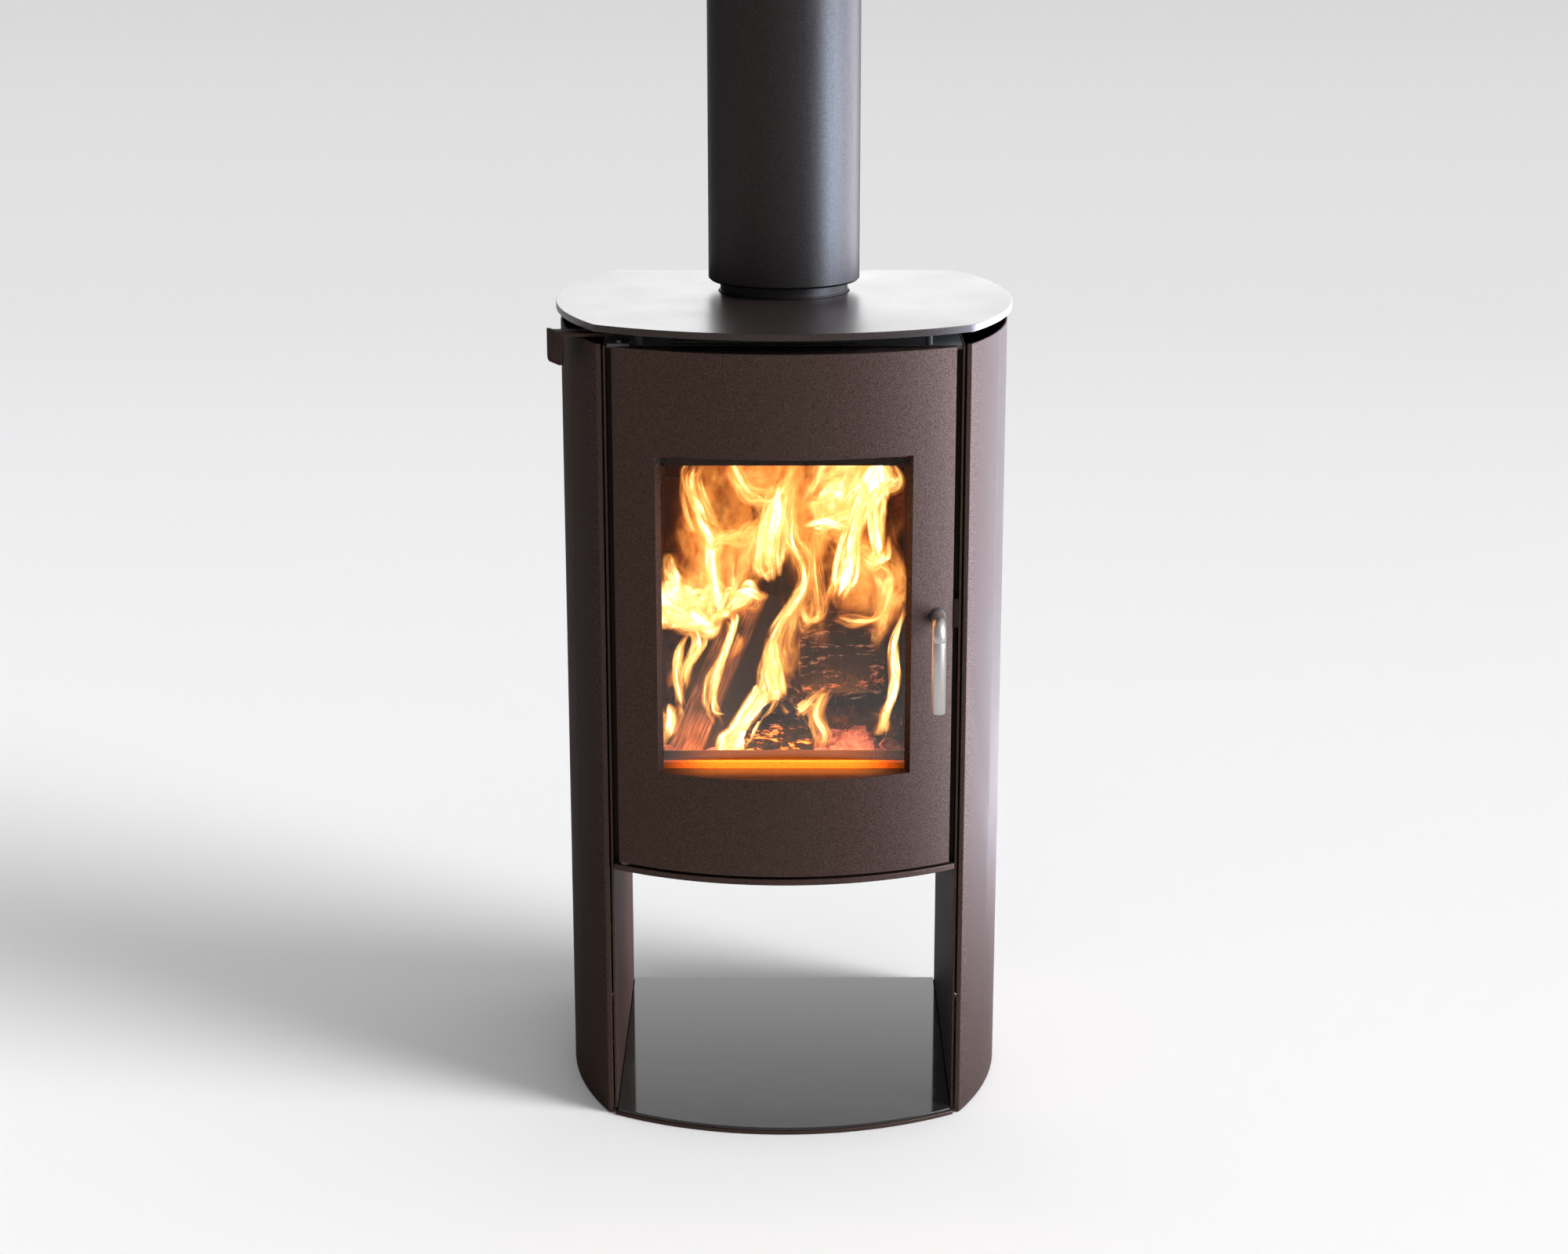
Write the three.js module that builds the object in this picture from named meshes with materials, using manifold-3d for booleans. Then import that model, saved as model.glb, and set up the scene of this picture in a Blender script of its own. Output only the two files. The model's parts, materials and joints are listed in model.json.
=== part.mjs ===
// Free-standing wood burning stove: rolled steel body on an open log store, glazed door, flue on top.
// Millimetres, +Z up. The origin is on the flue's axis at floor level; the door faces -Y and +X is the
// right-hand side of a person who stands in front of the stove.
import * as THREE from 'three';
import * as BufferGeometryUtils from 'three/addons/utils/BufferGeometryUtils.js';
import Module from 'manifold-3d';

const wasm = await Module();
wasm.setup();

// ---------------------------------------------------------------- driving dimensions
const GAP = 0.3;                 // running gap between pieces that meet on a curve
const ARC_STEPS = 24;            // straight steps in one rolled side
const ROUND_STEPS = 48;          // straight steps round a pipe

// Outline that the top plate, the base and the door share, seen from above.
const FRONT_R = 385;             // radius of the rolled front
const TOP_CORNER_X = 209.5;      // front and rear corners of the top plate
const TOP_CORNER_Y = -244;
const TOP_BACK_Y = 155;
const TOP_SIDE_BULGE = 55.5;     // how far a side of the top plate swells between its corners
const TOP_Z = 944;
const TOP_THICK = 8;
const SPACER_X = 160;            // pillars that hold the top plate above the firebox lid
const SPACER_Y = { front: -240, rear: 112 };
const SPACER_R = 4;

// Base and log store.
const BASE_HALF_X = 200;
const BASE_FRONT_Y = -306;
const BASE_BACK_Y = 155;
const BASE_THICK = 4.4;
const BASE_GLASS_TOP = 8;
const LEG_IN_X = 197.3;          // inner face of the leg plates
const SHEET = 3;                 // leg plates and heat shield
const LEG_FRONT_Y = -244;
const LEG_BACK_Y = 150;
const LEG_TOP_Z = 921;

// Side panels.
const PANEL_FRONT_Y = -245.3;
const PANEL_BACK_Y = 152;
const PANEL_CORNER_X = 207.7;
const PANEL_BULGE = 52;
const PANEL_LIP_X = 202;         // inner end of the folded lip
const PANEL_SHEET = 2.5;
const PANEL_BOTTOM = 1;
const PANEL_TOP = 922.9;
const BRACKET_Z = { lower: 150, upper: 780 };
const BRACKET_HALF_DEPTH = 16;

// Firebox.
const FLOOR_Z = [308, 315];      // underside and top of the plate that the firebox stands on
const LID_Z = [916, 921];
const LID_FRONT_Y = -242;
const LID_NOTCH_X = -166;        // left of this the lid stays clear of the door's swinging corner
const WALL_X = 172;              // inner face of the firebox's side walls
const WALL_THICK = 4;
const BACK_WALL_Y = [114, 118];
const FRAME_Y = [-234, -230];
const FRAME_OPENING_X = 150;
const FRAME_OPENING_Z = [331.2, 884];
const BOTTOM_Z = [327, 331];     // firebox bottom, which the ash pan slides on
const HEARTH_Z = [382, 386];
const BRICK_TOP = 410;
const BRICK_THICK = 24;
const LINING_TOP = 795.5;
const BAFFLE_Z = [796, 814];
const BAFFLE_FRONT_Y = -140;     // flue gas passes up between this edge and the front frame
const GRATE_HALF = 70;
const GRATE_Y = -60;             // centre of the grate
const GRATE_THICK = 16;
const GRATE_BARS = 6;
const GUARD_HALF_X = 142;        // bar that keeps the logs off the glass
const GUARD_TOP = 440;
const PRIMARY_AIR_X = [-75, -25, 25, 75];
const PRIMARY_AIR_Z = 356;

// Outside air inlet in the rear shield.
const INLET_R = 50;
const INLET_Z = 372;
const SHIELD_TOP = 900;
const SHIELD_SLOTS = 7;
const SHIELD_SLOT_PITCH = 48;
const SHIELD_SLOT_Z = 870;

// Flue.
const COLLAR_R = 75;
const COLLAR_WALL = 4;
const FLANGE_R = 76.6;           // rolled rim of the collar, which lies in the top plate's hole
const PIPE_R = 89;
const PIPE_WALL = 2.6;
const PIPE_CHAMFER = 2.5;
const PIPE_Z = [957.5, 1457.5];
const LINER_WALL = 1.2;

// Door.
const DOOR_HALF_X = 190.5;
const DOOR_FRONT_Y = -302;
const DOOR_Z = [318.5, 920.5];
const DOOR_SHEET = 4;
const DOOR_BACK_Y = -244.5;      // rear face of the door's inner plate
const RAIL_THICK = 4;            // top and bottom of the door, which turn on the hinge pins
const WINDOW_HALF_X = 143;       // window at the rolled face
const WINDOW_INNER_X = 137.4;    // window where the slanting reveals end
const WINDOW_Z = [434.5, 803.5];
const REVEAL_BACK_Y = -259.5;
const GLASS_Y = [-258, -254];
const SIGHT_HALF_X = 140;        // opening in the door's inner plate
const SIGHT_Z = [452, 786];
const DOOR_SCREWS = [[-152.5, 480], [152.5, 480], [-152.5, 758], [152.5, 758]];
const HINGE_X = -182.5;
const HINGE_Y = -246;
const HINGE_PIN_R = 3;

// Handle and latch.
const HANDLE_X = 172.8;
const HANDLE_Z = 616;
const HANDLE_R = 8;
const HANDLE_ROD_Y = -303;       // axis of the hanging part of the rod
const HANDLE_ROOT_Y = -266;      // where the rod ends in front of its bush
const HANDLE_BEND_R = 16;
const HANDLE_END_Z = 514;
const SPINDLE_R = 5;
const BUSH_R = 9;

// Air lever and shutter.
const LEVER_PIVOT = [-118, -182];
const LEVER_PIVOT_R = 5;
const LEVER_Z = [925, 929];
const LEVER_FRONT_Y = -214;
const LEVER_WIDTH = 30;
const LEVER_TAB_BOTTOM = 892;
const LEVER_TAB = [[-249, -214], [-267, -178]];   // outer face of the bent-down tab, seen from above
const LEVER_THICK = 4;
const SHUTTER_Z = [921.2, 923.2];
const SHUTTER_END_X = 86;
const SHUTTER_SHIFT = 5;         // how far the shutter's slots stand off the lid's at rest
const DRIVE_ARM = 40;            // pivot to drive pin, towards the front
const DRIVE_PIN_R = 3;

// Rows of slots: cooling vents in the door's top rail, air slots in the firebox lid and the shutter.
const VENTS = 8;
const VENT_PITCH = 20.6;
const VENT_LENGTH = 16;
const VENT_Y = -268;
const AIR_SLOTS = 6;
const AIR_SLOT_PITCH = 26;
const AIR_SLOT_Y = -222;

// Ash pan.
const PAN_HALF_X = 120;
const PAN_Y = [-226, 62];
const PAN_Z = [331.6, 376];
const PAN_SHEET = 1.5;

// ---------------------------------------------------------------- materials
const surface = (color, roughness, metalness) =>
  new THREE.MeshStandardMaterial({ color, roughness, metalness });
const BODY_PAINT = surface(0x3b312e, 0.5, 0.6);
const FLUE_PAINT = surface(0x2b2a2b, 0.45, 0.5);
const BLACK_GLASS = surface(0x34312f, 0.08, 0.2);
const RAW_STEEL = surface(0x4a4644, 0.6, 0.8);
const CAST_IRON = surface(0x26231f, 0.8, 0.5);
const VERMICULITE = surface(0xb8a37c, 0.95, 0);
const STAINLESS = surface(0xb4b2ae, 0.3, 1);
const CLEAR_GLASS = surface(0x8a8078, 0.05, 0);
const ROPE = surface(0x2b2927, 0.95, 0);
const ZINC = surface(0x9a9a98, 0.4, 0.9);

const stove = new THREE.Group();

function add(name, geometry, material) {
  const mesh = new THREE.Mesh(geometry, material);
  mesh.name = name;
  stove.add(mesh);
  return mesh;
}

// ---------------------------------------------------------------- shape helpers
// Points from one corner up to, not including, the next, swelling to the right of the way they run.
function bulgedEdge([x0, y0], [x1, y1], bulge, steps = ARC_STEPS) {
  const dx = x1 - x0;
  const dy = y1 - y0;
  const chord = Math.hypot(dx, dy);
  const radius = (chord * chord / 4 + bulge * bulge) / (2 * bulge);
  const right = [dy / chord, -dx / chord];
  const depth = radius - bulge;
  const centre = [(x0 + x1) / 2 - right[0] * depth, (y0 + y1) / 2 - right[1] * depth];
  const half = Math.asin(chord / 2 / radius);
  const points = [];
  for (let i = 0; i < steps; i++) {
    const angle = -half + 2 * half * i / steps;
    const along = radius * Math.sin(angle);
    const out = radius * Math.cos(angle);
    points.push([
      centre[0] + right[0] * out + dx / chord * along,
      centre[1] + right[1] * out + dy / chord * along,
    ]);
  }
  return points;
}

function arcDrop(halfWidth, radius = FRONT_R) {
  return radius - Math.sqrt(radius * radius - halfWidth * halfWidth);
}

const mirrored = (points) => points.map(([x, y]) => [-x, y]).reverse();
const toShape = (points) => new THREE.Shape(points.map(([x, y]) => new THREE.Vector2(x, y)));

function rectangle(x0, x1, y0, y1) {
  return [[x0, y0], [x1, y0], [x1, y1], [x0, y1]];
}

function circle(x, y, r, steps = 24) {
  const points = [];
  for (let i = 0; i < steps; i++) {
    const angle = 2 * Math.PI * i / steps;
    points.push([x + r * Math.cos(angle), y + r * Math.sin(angle)]);
  }
  return points;
}

// A slot of a given width along X whose ends are round.
function slotAlongX(x0, x1, y, width, steps = 6) {
  const r = width / 2;
  const points = [];
  for (let i = 0; i <= steps; i++) {
    const angle = -Math.PI / 2 + Math.PI * i / steps;
    points.push([x1 - r + r * Math.cos(angle), y + r * Math.sin(angle)]);
  }
  for (let i = 0; i <= steps; i++) {
    const angle = Math.PI / 2 + Math.PI * i / steps;
    points.push([x0 + r + r * Math.cos(angle), y + r * Math.sin(angle)]);
  }
  return points;
}

// A quarter turn about (x, z), from a start angle on.
function roundCorner(x, z, r, start, steps = 5) {
  const points = [];
  for (let i = 0; i <= steps; i++) {
    const angle = start + Math.PI / 2 * i / steps;
    points.push([x + r * Math.cos(angle), z + r * Math.sin(angle)]);
  }
  return points;
}

// A flat plate: an outline seen from above, between two heights.
function plate(outline, z0, z1, holes = []) {
  const shape = toShape(outline);
  shape.holes = holes.map(toShape);
  const geometry = new THREE.ExtrudeGeometry(shape, { depth: z1 - z0, bevelEnabled: false, steps: 1 });
  geometry.translate(0, 0, z0);
  return geometry;
}

// A flat plate that faces the front: an outline in X and Z, between two depths.
function uprightPlate(outline, y0, y1, holes = []) {
  const geometry = plate(outline, -y1, -y0, holes);
  geometry.rotateX(Math.PI / 2);
  return geometry;
}

function block(x0, x1, y0, y1, z0, z1) {
  const geometry = new THREE.BoxGeometry(x1 - x0, y1 - y0, z1 - z0);
  geometry.translate((x0 + x1) / 2, (y0 + y1) / 2, (z0 + z1) / 2);
  return geometry;
}

// The same block on the left (side -1) or the right (side 1), from its distances to the middle.
function sideBlock(side, near, far, y0, y1, z0, z1) {
  return side < 0 ? block(-far, -near, y0, y1, z0, z1) : block(near, far, y0, y1, z0, z1);
}

// A body of revolution about the vertical line through (x, y), from a closed list of [radius, height].
function turned(profile, x = 0, y = 0, steps = ROUND_STEPS) {
  const closed = [...profile, profile[0]].map(([r, z]) => new THREE.Vector2(r, z));
  const geometry = new THREE.LatheGeometry(closed, steps);
  geometry.rotateX(Math.PI / 2);
  geometry.translate(x, y, 0);
  return geometry;
}

const pillar = (x, y, r, z0, z1, steps = 24) => plate(circle(x, y, r, steps), z0, z1);
const spindleAlongY = (x, z, r, y0, y1, steps = 24) => uprightPlate(circle(x, z, r, steps), y0, y1);
const tube = (rIn, rOut, z0, z1) => turned([[rIn, z0], [rOut, z0], [rOut, z1], [rIn, z1]]);

function tubeAlongY(x, z, rIn, rOut, y0, y1) {
  const geometry = tube(rIn, rOut, -y1, -y0);
  geometry.rotateX(Math.PI / 2);
  geometry.translate(x, 0, z);
  return geometry;
}

// ---------------------------------------------------------------- joins and cuts
function solid(geometry) {
  const bare = geometry.clone();
  bare.deleteAttribute('normal');
  bare.deleteAttribute('uv');
  const merged = BufferGeometryUtils.mergeVertices(bare, 1e-4);
  return new wasm.Manifold(new wasm.Mesh({
    numProp: 3,
    vertProperties: new Float32Array(merged.attributes.position.array),
    triVerts: new Uint32Array(merged.index.array),
  }));
}

function toGeometry(manifold) {
  const mesh = manifold.getMesh();
  const geometry = new THREE.BufferGeometry();
  geometry.setAttribute('position', new THREE.BufferAttribute(new Float32Array(mesh.vertProperties), 3));
  geometry.setIndex(new THREE.BufferAttribute(new Uint32Array(mesh.triVerts), 1));
  geometry.computeVertexNormals();
  return geometry;
}

function cut(geometry, ...tools) {
  return toGeometry(tools.reduce((rest, tool) => rest.subtract(solid(tool)), solid(geometry)));
}

function join(geometry, ...others) {
  return toGeometry(others.reduce((whole, other) => whole.add(solid(other)), solid(geometry)));
}

// ---------------------------------------------------------------- outlines
function bodyOutline(cornerX, cornerY, backY, frontBulge, sideBulge) {
  return [
    ...bulgedEdge([-cornerX, cornerY], [cornerX, cornerY], frontBulge),
    ...bulgedEdge([cornerX, cornerY], [cornerX, backY], sideBulge),
    [cornerX, backY],
    ...bulgedEdge([-cornerX, backY], [-cornerX, cornerY], sideBulge),
  ];
}

// Straight-sided outline with the rolled front.
function hearthOutline(halfX, frontY, backY) {
  const cornerY = frontY + arcDrop(halfX);
  return [
    ...bulgedEdge([-halfX, cornerY], [halfX, cornerY], arcDrop(halfX)),
    [halfX, cornerY],
    [halfX, backY],
    [-halfX, backY],
  ];
}

// ---------------------------------------------------------------- base and log store
function buildBase() {
  const sheet = hearthOutline(BASE_HALF_X, BASE_FRONT_Y, BASE_BACK_Y);
  add('base_plate', plate(sheet, 0, BASE_THICK), BODY_PAINT);
  const inset = 1.5;
  const glass = plate(
    hearthOutline(LEG_IN_X - 1, BASE_FRONT_Y + inset, BASE_BACK_Y - inset), BASE_THICK, BASE_GLASS_TOP);
  add('base_glass', glass, BLACK_GLASS);
  for (const side of [-1, 1]) {
    const leg = sideBlock(
      side, LEG_IN_X, LEG_IN_X + SHEET, LEG_FRONT_Y, LEG_BACK_Y, BASE_THICK, LEG_TOP_Z);
    add(side < 0 ? 'left_leg_plate' : 'right_leg_plate', leg, BODY_PAINT);
  }
}

// ---------------------------------------------------------------- side panels
function panelSection() {
  const half = (PANEL_BACK_Y - PANEL_FRONT_Y) / 2;
  const radius = (half * half + PANEL_BULGE * PANEL_BULGE) / (2 * PANEL_BULGE);
  const centreX = PANEL_CORNER_X + PANEL_BULGE - radius;
  const centreY = (PANEL_FRONT_Y + PANEL_BACK_Y) / 2;
  const innerR = radius - PANEL_SHEET;
  const innerX = (y) => centreX + Math.sqrt(innerR * innerR - (y - centreY) * (y - centreY));
  const front = PANEL_FRONT_Y + PANEL_SHEET;
  const back = PANEL_BACK_Y - PANEL_SHEET;
  const inner = [];
  for (let i = 0; i <= ARC_STEPS; i++) {
    const y = back + (front - back) * i / ARC_STEPS;
    inner.push([innerX(y), y]);
  }
  return [
    [PANEL_LIP_X, PANEL_FRONT_Y],
    ...bulgedEdge([PANEL_CORNER_X, PANEL_FRONT_Y], [PANEL_CORNER_X, PANEL_BACK_Y], PANEL_BULGE),
    [PANEL_CORNER_X, PANEL_BACK_Y],
    [PANEL_LIP_X, PANEL_BACK_Y],
    [PANEL_LIP_X, back],
    ...inner,
    [PANEL_LIP_X, front],
  ];
}

function buildPanels() {
  const right = panelSection();
  add('right_side_panel', plate(right, PANEL_BOTTOM, PANEL_TOP), BODY_PAINT);
  add('left_side_panel', plate(mirrored(right), PANEL_BOTTOM, PANEL_TOP), BODY_PAINT);
  const legOut = LEG_IN_X + SHEET;
  const centreY = (PANEL_FRONT_Y + PANEL_BACK_Y) / 2;
  const reach = PANEL_CORNER_X + PANEL_BULGE - PANEL_SHEET - 1;
  for (const side of [-1, 1]) {
    for (const [level, z] of Object.entries(BRACKET_Z)) {
      const hook = sideBlock(
        side, legOut, reach, centreY - BRACKET_HALF_DEPTH, centreY + BRACKET_HALF_DEPTH, z, z + SHEET);
      add(`${side < 0 ? 'left' : 'right'}_panel_bracket_${level}`, hook, RAW_STEEL);
    }
  }
}

// ---------------------------------------------------------------- top plate
function buildTop() {
  const outline = bodyOutline(
    TOP_CORNER_X, TOP_CORNER_Y, TOP_BACK_Y, arcDrop(TOP_CORNER_X), TOP_SIDE_BULGE);
  const hole = circle(0, 0, FLANGE_R + 0.5, ROUND_STEPS);
  add('top_plate', plate(outline, TOP_Z - TOP_THICK, TOP_Z, [hole]), BODY_PAINT);
  for (const [row, y] of Object.entries(SPACER_Y)) {
    for (const [side, x] of [['left', -SPACER_X], ['right', SPACER_X]]) {
      const spacer = pillar(x, y, SPACER_R, LID_Z[1], TOP_Z - TOP_THICK, 16);
      add(`top_spacer_${row}_${side}`, spacer, STAINLESS);
    }
  }
}

// ---------------------------------------------------------------- firebox
function buildFirebox() {
  const inside = LEG_IN_X - GAP;
  const pinHole = circle(HINGE_X, HINGE_Y, HINGE_PIN_R + 0.1);
  const floor = plate(hearthOutline(inside, DOOR_FRONT_Y, LEG_BACK_Y), FLOOR_Z[0], FLOOR_Z[1], [pinHole]);
  add('firebox_floor_plate', floor, BODY_PAINT);

  const flueHole = circle(0, 0, COLLAR_R + GAP, ROUND_STEPS);
  const pivotHole = circle(...LEVER_PIVOT, LEVER_PIVOT_R + 0.2);
  const airSlots = airSlotRow(0);
  const lid = [
    [-inside, FRAME_Y[0]], [LID_NOTCH_X, FRAME_Y[0]], [LID_NOTCH_X, LID_FRONT_Y], [inside, LID_FRONT_Y],
    [inside, BACK_WALL_Y[1]], [-inside, BACK_WALL_Y[1]],
  ];
  add('firebox_lid', plate(lid, LID_Z[0], LID_Z[1], [flueHole, pivotHole, ...airSlots]), RAW_STEEL);

  const opening = rectangle(-FRAME_OPENING_X, FRAME_OPENING_X, FRAME_OPENING_Z[0], FRAME_OPENING_Z[1]);
  add('firebox_front_frame',
    uprightPlate(rectangle(-inside, inside, FLOOR_Z[1], LID_Z[0]), FRAME_Y[0], FRAME_Y[1], [opening]),
    BODY_PAINT);
  add('firebox_bottom',
    block(-WALL_X + GAP, WALL_X - GAP, FRAME_Y[1], BACK_WALL_Y[0], BOTTOM_Z[0], BOTTOM_Z[1]), RAW_STEEL);

  for (const side of [-1, 1]) {
    const name = side < 0 ? 'left' : 'right';
    const wall = sideBlock(
      side, WALL_X, WALL_X + WALL_THICK, FRAME_Y[1], BACK_WALL_Y[0], FLOOR_Z[1], LID_Z[0]);
    add(`firebox_${name}_wall`, wall, RAW_STEEL);
    const lining = sideBlock(
      side, WALL_X - GAP - BRICK_THICK, WALL_X - GAP,
      FRAME_Y[1] + 1, BACK_WALL_Y[0] - BRICK_THICK - 1, BRICK_TOP, LINING_TOP);
    add(`${name}_lining_brick`, lining, VERMICULITE);
  }
  const primaryAir = PRIMARY_AIR_X.map((x) => slotAlongX(x - 18, x + 18, PRIMARY_AIR_Z, 12));
  const backSheet = rectangle(-inside, inside, FLOOR_Z[1], LID_Z[0]);
  add('firebox_back_wall', uprightPlate(backSheet, ...BACK_WALL_Y, primaryAir), RAW_STEEL);

  const brickHalf = WALL_X - 1;
  const backY = [BACK_WALL_Y[0] - BRICK_THICK, BACK_WALL_Y[0] - GAP];
  add('back_lining_brick', block(-brickHalf, brickHalf, ...backY, BRICK_TOP, LINING_TOP), VERMICULITE);
  const baffleY = [BAFFLE_FRONT_Y, BACK_WALL_Y[0] - 1];
  add('baffle_plate', block(-brickHalf, brickHalf, ...baffleY, ...BAFFLE_Z), VERMICULITE);
}

// ---------------------------------------------------------------- hearth, grate and log guard
function buildHearth() {
  const wide = WALL_X - GAP;
  const front = FRAME_Y[1] + 0.5;
  const back = BACK_WALL_Y[0] - 0.5;
  const squareHole = (half) => rectangle(-half, half, GRATE_Y - half, GRATE_Y + half);
  const sheet = rectangle(-wide, wide, front, back);
  add('hearth_plate', plate(sheet, HEARTH_Z[0], HEARTH_Z[1], [squareHole(GRATE_HALF - 10)]), RAW_STEEL);
  const brick = rectangle(-wide, wide, front + 14, back);
  const seat = squareHole(GRATE_HALF + 1);
  add('hearth_brick', plate(brick, HEARTH_Z[1], BRICK_TOP - GAP, [seat]), VERMICULITE);

  const pitch = 2 * (GRATE_HALF - 10) / GRATE_BARS;
  const slots = [];
  for (let i = 0; i < GRATE_BARS; i++) {
    const y = GRATE_Y + (i - (GRATE_BARS - 1) / 2) * pitch;
    slots.push(slotAlongX(-GRATE_HALF + 14, GRATE_HALF - 14, y, 9));
  }
  add('grate', plate(squareHole(GRATE_HALF), HEARTH_Z[1], HEARTH_Z[1] + GRATE_THICK, slots), CAST_IRON);

  const footTop = HEARTH_Z[1] + 6;
  const bar = block(-GUARD_HALF_X, GUARD_HALF_X, front + 6, front + 10, footTop - 2, GUARD_TOP);
  const feet = [-1, 1].map((side) =>
    sideBlock(side, GUARD_HALF_X - 14, GUARD_HALF_X, front + 1, front + 12, HEARTH_Z[1], footTop));
  add('log_guard', join(bar, ...feet), CAST_IRON);
}

// ---------------------------------------------------------------- rear
function buildRear() {
  const shieldY = [LEG_BACK_Y - SHEET - 1, LEG_BACK_Y - 1];
  const inletHole = circle(0, INLET_Z, INLET_R + GAP, 32);
  const slots = [];
  for (let i = 0; i < SHIELD_SLOTS; i++) {
    const x = (i - (SHIELD_SLOTS - 1) / 2) * SHIELD_SLOT_PITCH;
    slots.push(slotAlongX(x - 18, x + 18, SHIELD_SLOT_Z, 8));
  }
  const outline = rectangle(-LEG_IN_X + 1, LEG_IN_X - 1, FLOOR_Z[1] + GAP, SHIELD_TOP);
  add('rear_heat_shield', uprightPlate(outline, ...shieldY, [inletHole, ...slots]), BODY_PAINT);
  add('air_inlet_spigot',
    tubeAlongY(0, INLET_Z, INLET_R - SHEET, INLET_R, BACK_WALL_Y[1] + 6, TOP_BACK_Y - 1), RAW_STEEL);
}

// ---------------------------------------------------------------- flue
function buildFlue() {
  const inner = COLLAR_R - COLLAR_WALL;
  const collar = turned([
    [inner, LID_Z[0] - 10], [COLLAR_R, LID_Z[0] - 10], [COLLAR_R, TOP_Z + 0.2],
    [FLANGE_R, TOP_Z + 0.2], [FLANGE_R, TOP_Z + 2], [COLLAR_R, TOP_Z + 2.6],
    [COLLAR_R, PIPE_Z[0] + 40], [inner, PIPE_Z[0] + 40],
  ]);
  add('flue_collar', collar, FLUE_PAINT);
  const linerIn = COLLAR_R + GAP;
  const linerOut = linerIn + LINER_WALL;
  const pipeIn = PIPE_R - PIPE_WALL;
  add('flue_liner', tube(linerIn, linerOut, PIPE_Z[0] + 2, PIPE_Z[1]), STAINLESS);
  add('flue_insulation', tube(linerOut + GAP, pipeIn - GAP, PIPE_Z[0] + 3, PIPE_Z[1]), ROPE);
  const casing = turned([
    [pipeIn, PIPE_Z[0]], [PIPE_R - PIPE_CHAMFER, PIPE_Z[0]], [PIPE_R, PIPE_Z[0] + PIPE_CHAMFER],
    [PIPE_R, PIPE_Z[1]], [pipeIn, PIPE_Z[1]],
  ]);
  add('flue_casing', casing, FLUE_PAINT);
}

// ---------------------------------------------------------------- hinges on the body
function buildHinges() {
  const hole = circle(HINGE_X, HINGE_Y, HINGE_PIN_R + 0.1);
  const tab = rectangle(HINGE_X - 12, HINGE_X + 12, HINGE_Y - 8, HINGE_Y + 28);
  add('upper_hinge_tab', plate(tab, LID_Z[1], LID_Z[1] + 3.5, [hole]), RAW_STEEL);
  add('upper_hinge_pin', pillar(HINGE_X, HINGE_Y, HINGE_PIN_R, DOOR_Z[1] - 9, LID_Z[1] + 6), ZINC);
  add('lower_hinge_pin', pillar(HINGE_X, HINGE_Y, HINGE_PIN_R, FLOOR_Z[0] + 1, DOOR_Z[0] + 8), ZINC);
  const washerIn = HINGE_PIN_R + 0.3;
  const washerTop = DOOR_Z[0] - 0.3;
  const washerOut = 2 * HINGE_PIN_R + 1;
  const ring = [
    [washerIn, FLOOR_Z[1]], [washerOut, FLOOR_Z[1]], [washerOut, washerTop], [washerIn, washerTop],
  ];
  add('lower_hinge_washer', turned(ring, HINGE_X, HINGE_Y, 24), ZINC);
  const keeperX = [DOOR_HALF_X + 0.9, LEG_IN_X - GAP];
  const keeperY = [DOOR_BACK_Y - 7.5, DOOR_BACK_Y - 0.2];
  const keeper = block(...keeperX, ...keeperY, HANDLE_Z - 16, HANDLE_Z + 16);
  add('latch_keeper', keeper, ZINC);
}

// ---------------------------------------------------------------- door
const doorCornerY = DOOR_FRONT_Y + arcDrop(DOOR_HALF_X);

// The space between the rolled face, moved back by an offset, and a flat plane behind it.
function lens(halfX, backY, offset, z0, z1, holes = []) {
  const radius = FRONT_R - offset;
  const drop = arcDrop(halfX, radius);
  const cornerY = DOOR_FRONT_Y + offset + drop;
  const outline = [
    ...bulgedEdge([-halfX, cornerY], [halfX, cornerY], drop),
    [halfX, cornerY],
    [halfX, backY],
    [-halfX, backY],
  ];
  return plate(outline, z0, z1, holes);
}

function windowCutter(grow) {
  const front = DOOR_FRONT_Y - 20;
  const arcY = DOOR_FRONT_Y + arcDrop(WINDOW_HALF_X);
  const slant = (WINDOW_HALF_X - WINDOW_INNER_X) / (REVEAL_BACK_Y - arcY);
  const beyond = REVEAL_BACK_Y + 4;
  const halfAt = (y) => WINDOW_HALF_X + grow - slant * (y - arcY);
  const outline = [
    [-halfAt(front), front], [halfAt(front), front], [halfAt(beyond), beyond], [-halfAt(beyond), beyond],
  ];
  return plate(outline, WINDOW_Z[0] - grow, WINDOW_Z[1] + grow);
}

// The skin: rolled sheet with short side returns and a slanting surround behind the window.
function doorSkin() {
  const seat = DOOR_BACK_Y - SHEET;
  const whole = solid(lens(DOOR_HALF_X, seat, 0, DOOR_Z[0], DOOR_Z[1]));
  const hollow = solid(
    lens(DOOR_HALF_X - DOOR_SHEET, seat + 1, DOOR_SHEET, DOOR_Z[0] - 1, DOOR_Z[1] + 1));
  const behindFace = solid(lens(WINDOW_HALF_X + 9, REVEAL_BACK_Y, 1, DOOR_Z[0], DOOR_Z[1]));
  const surround = solid(windowCutter(3)).intersect(behindFace);
  const bushHole = solid(spindleAlongY(HANDLE_X, HANDLE_Z, BUSH_R + GAP, DOOR_FRONT_Y, DOOR_BACK_Y));
  const shell = whole.subtract(hollow).add(surround);
  return toGeometry(shell.subtract(solid(windowCutter(0))).subtract(bushHole));
}

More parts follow.
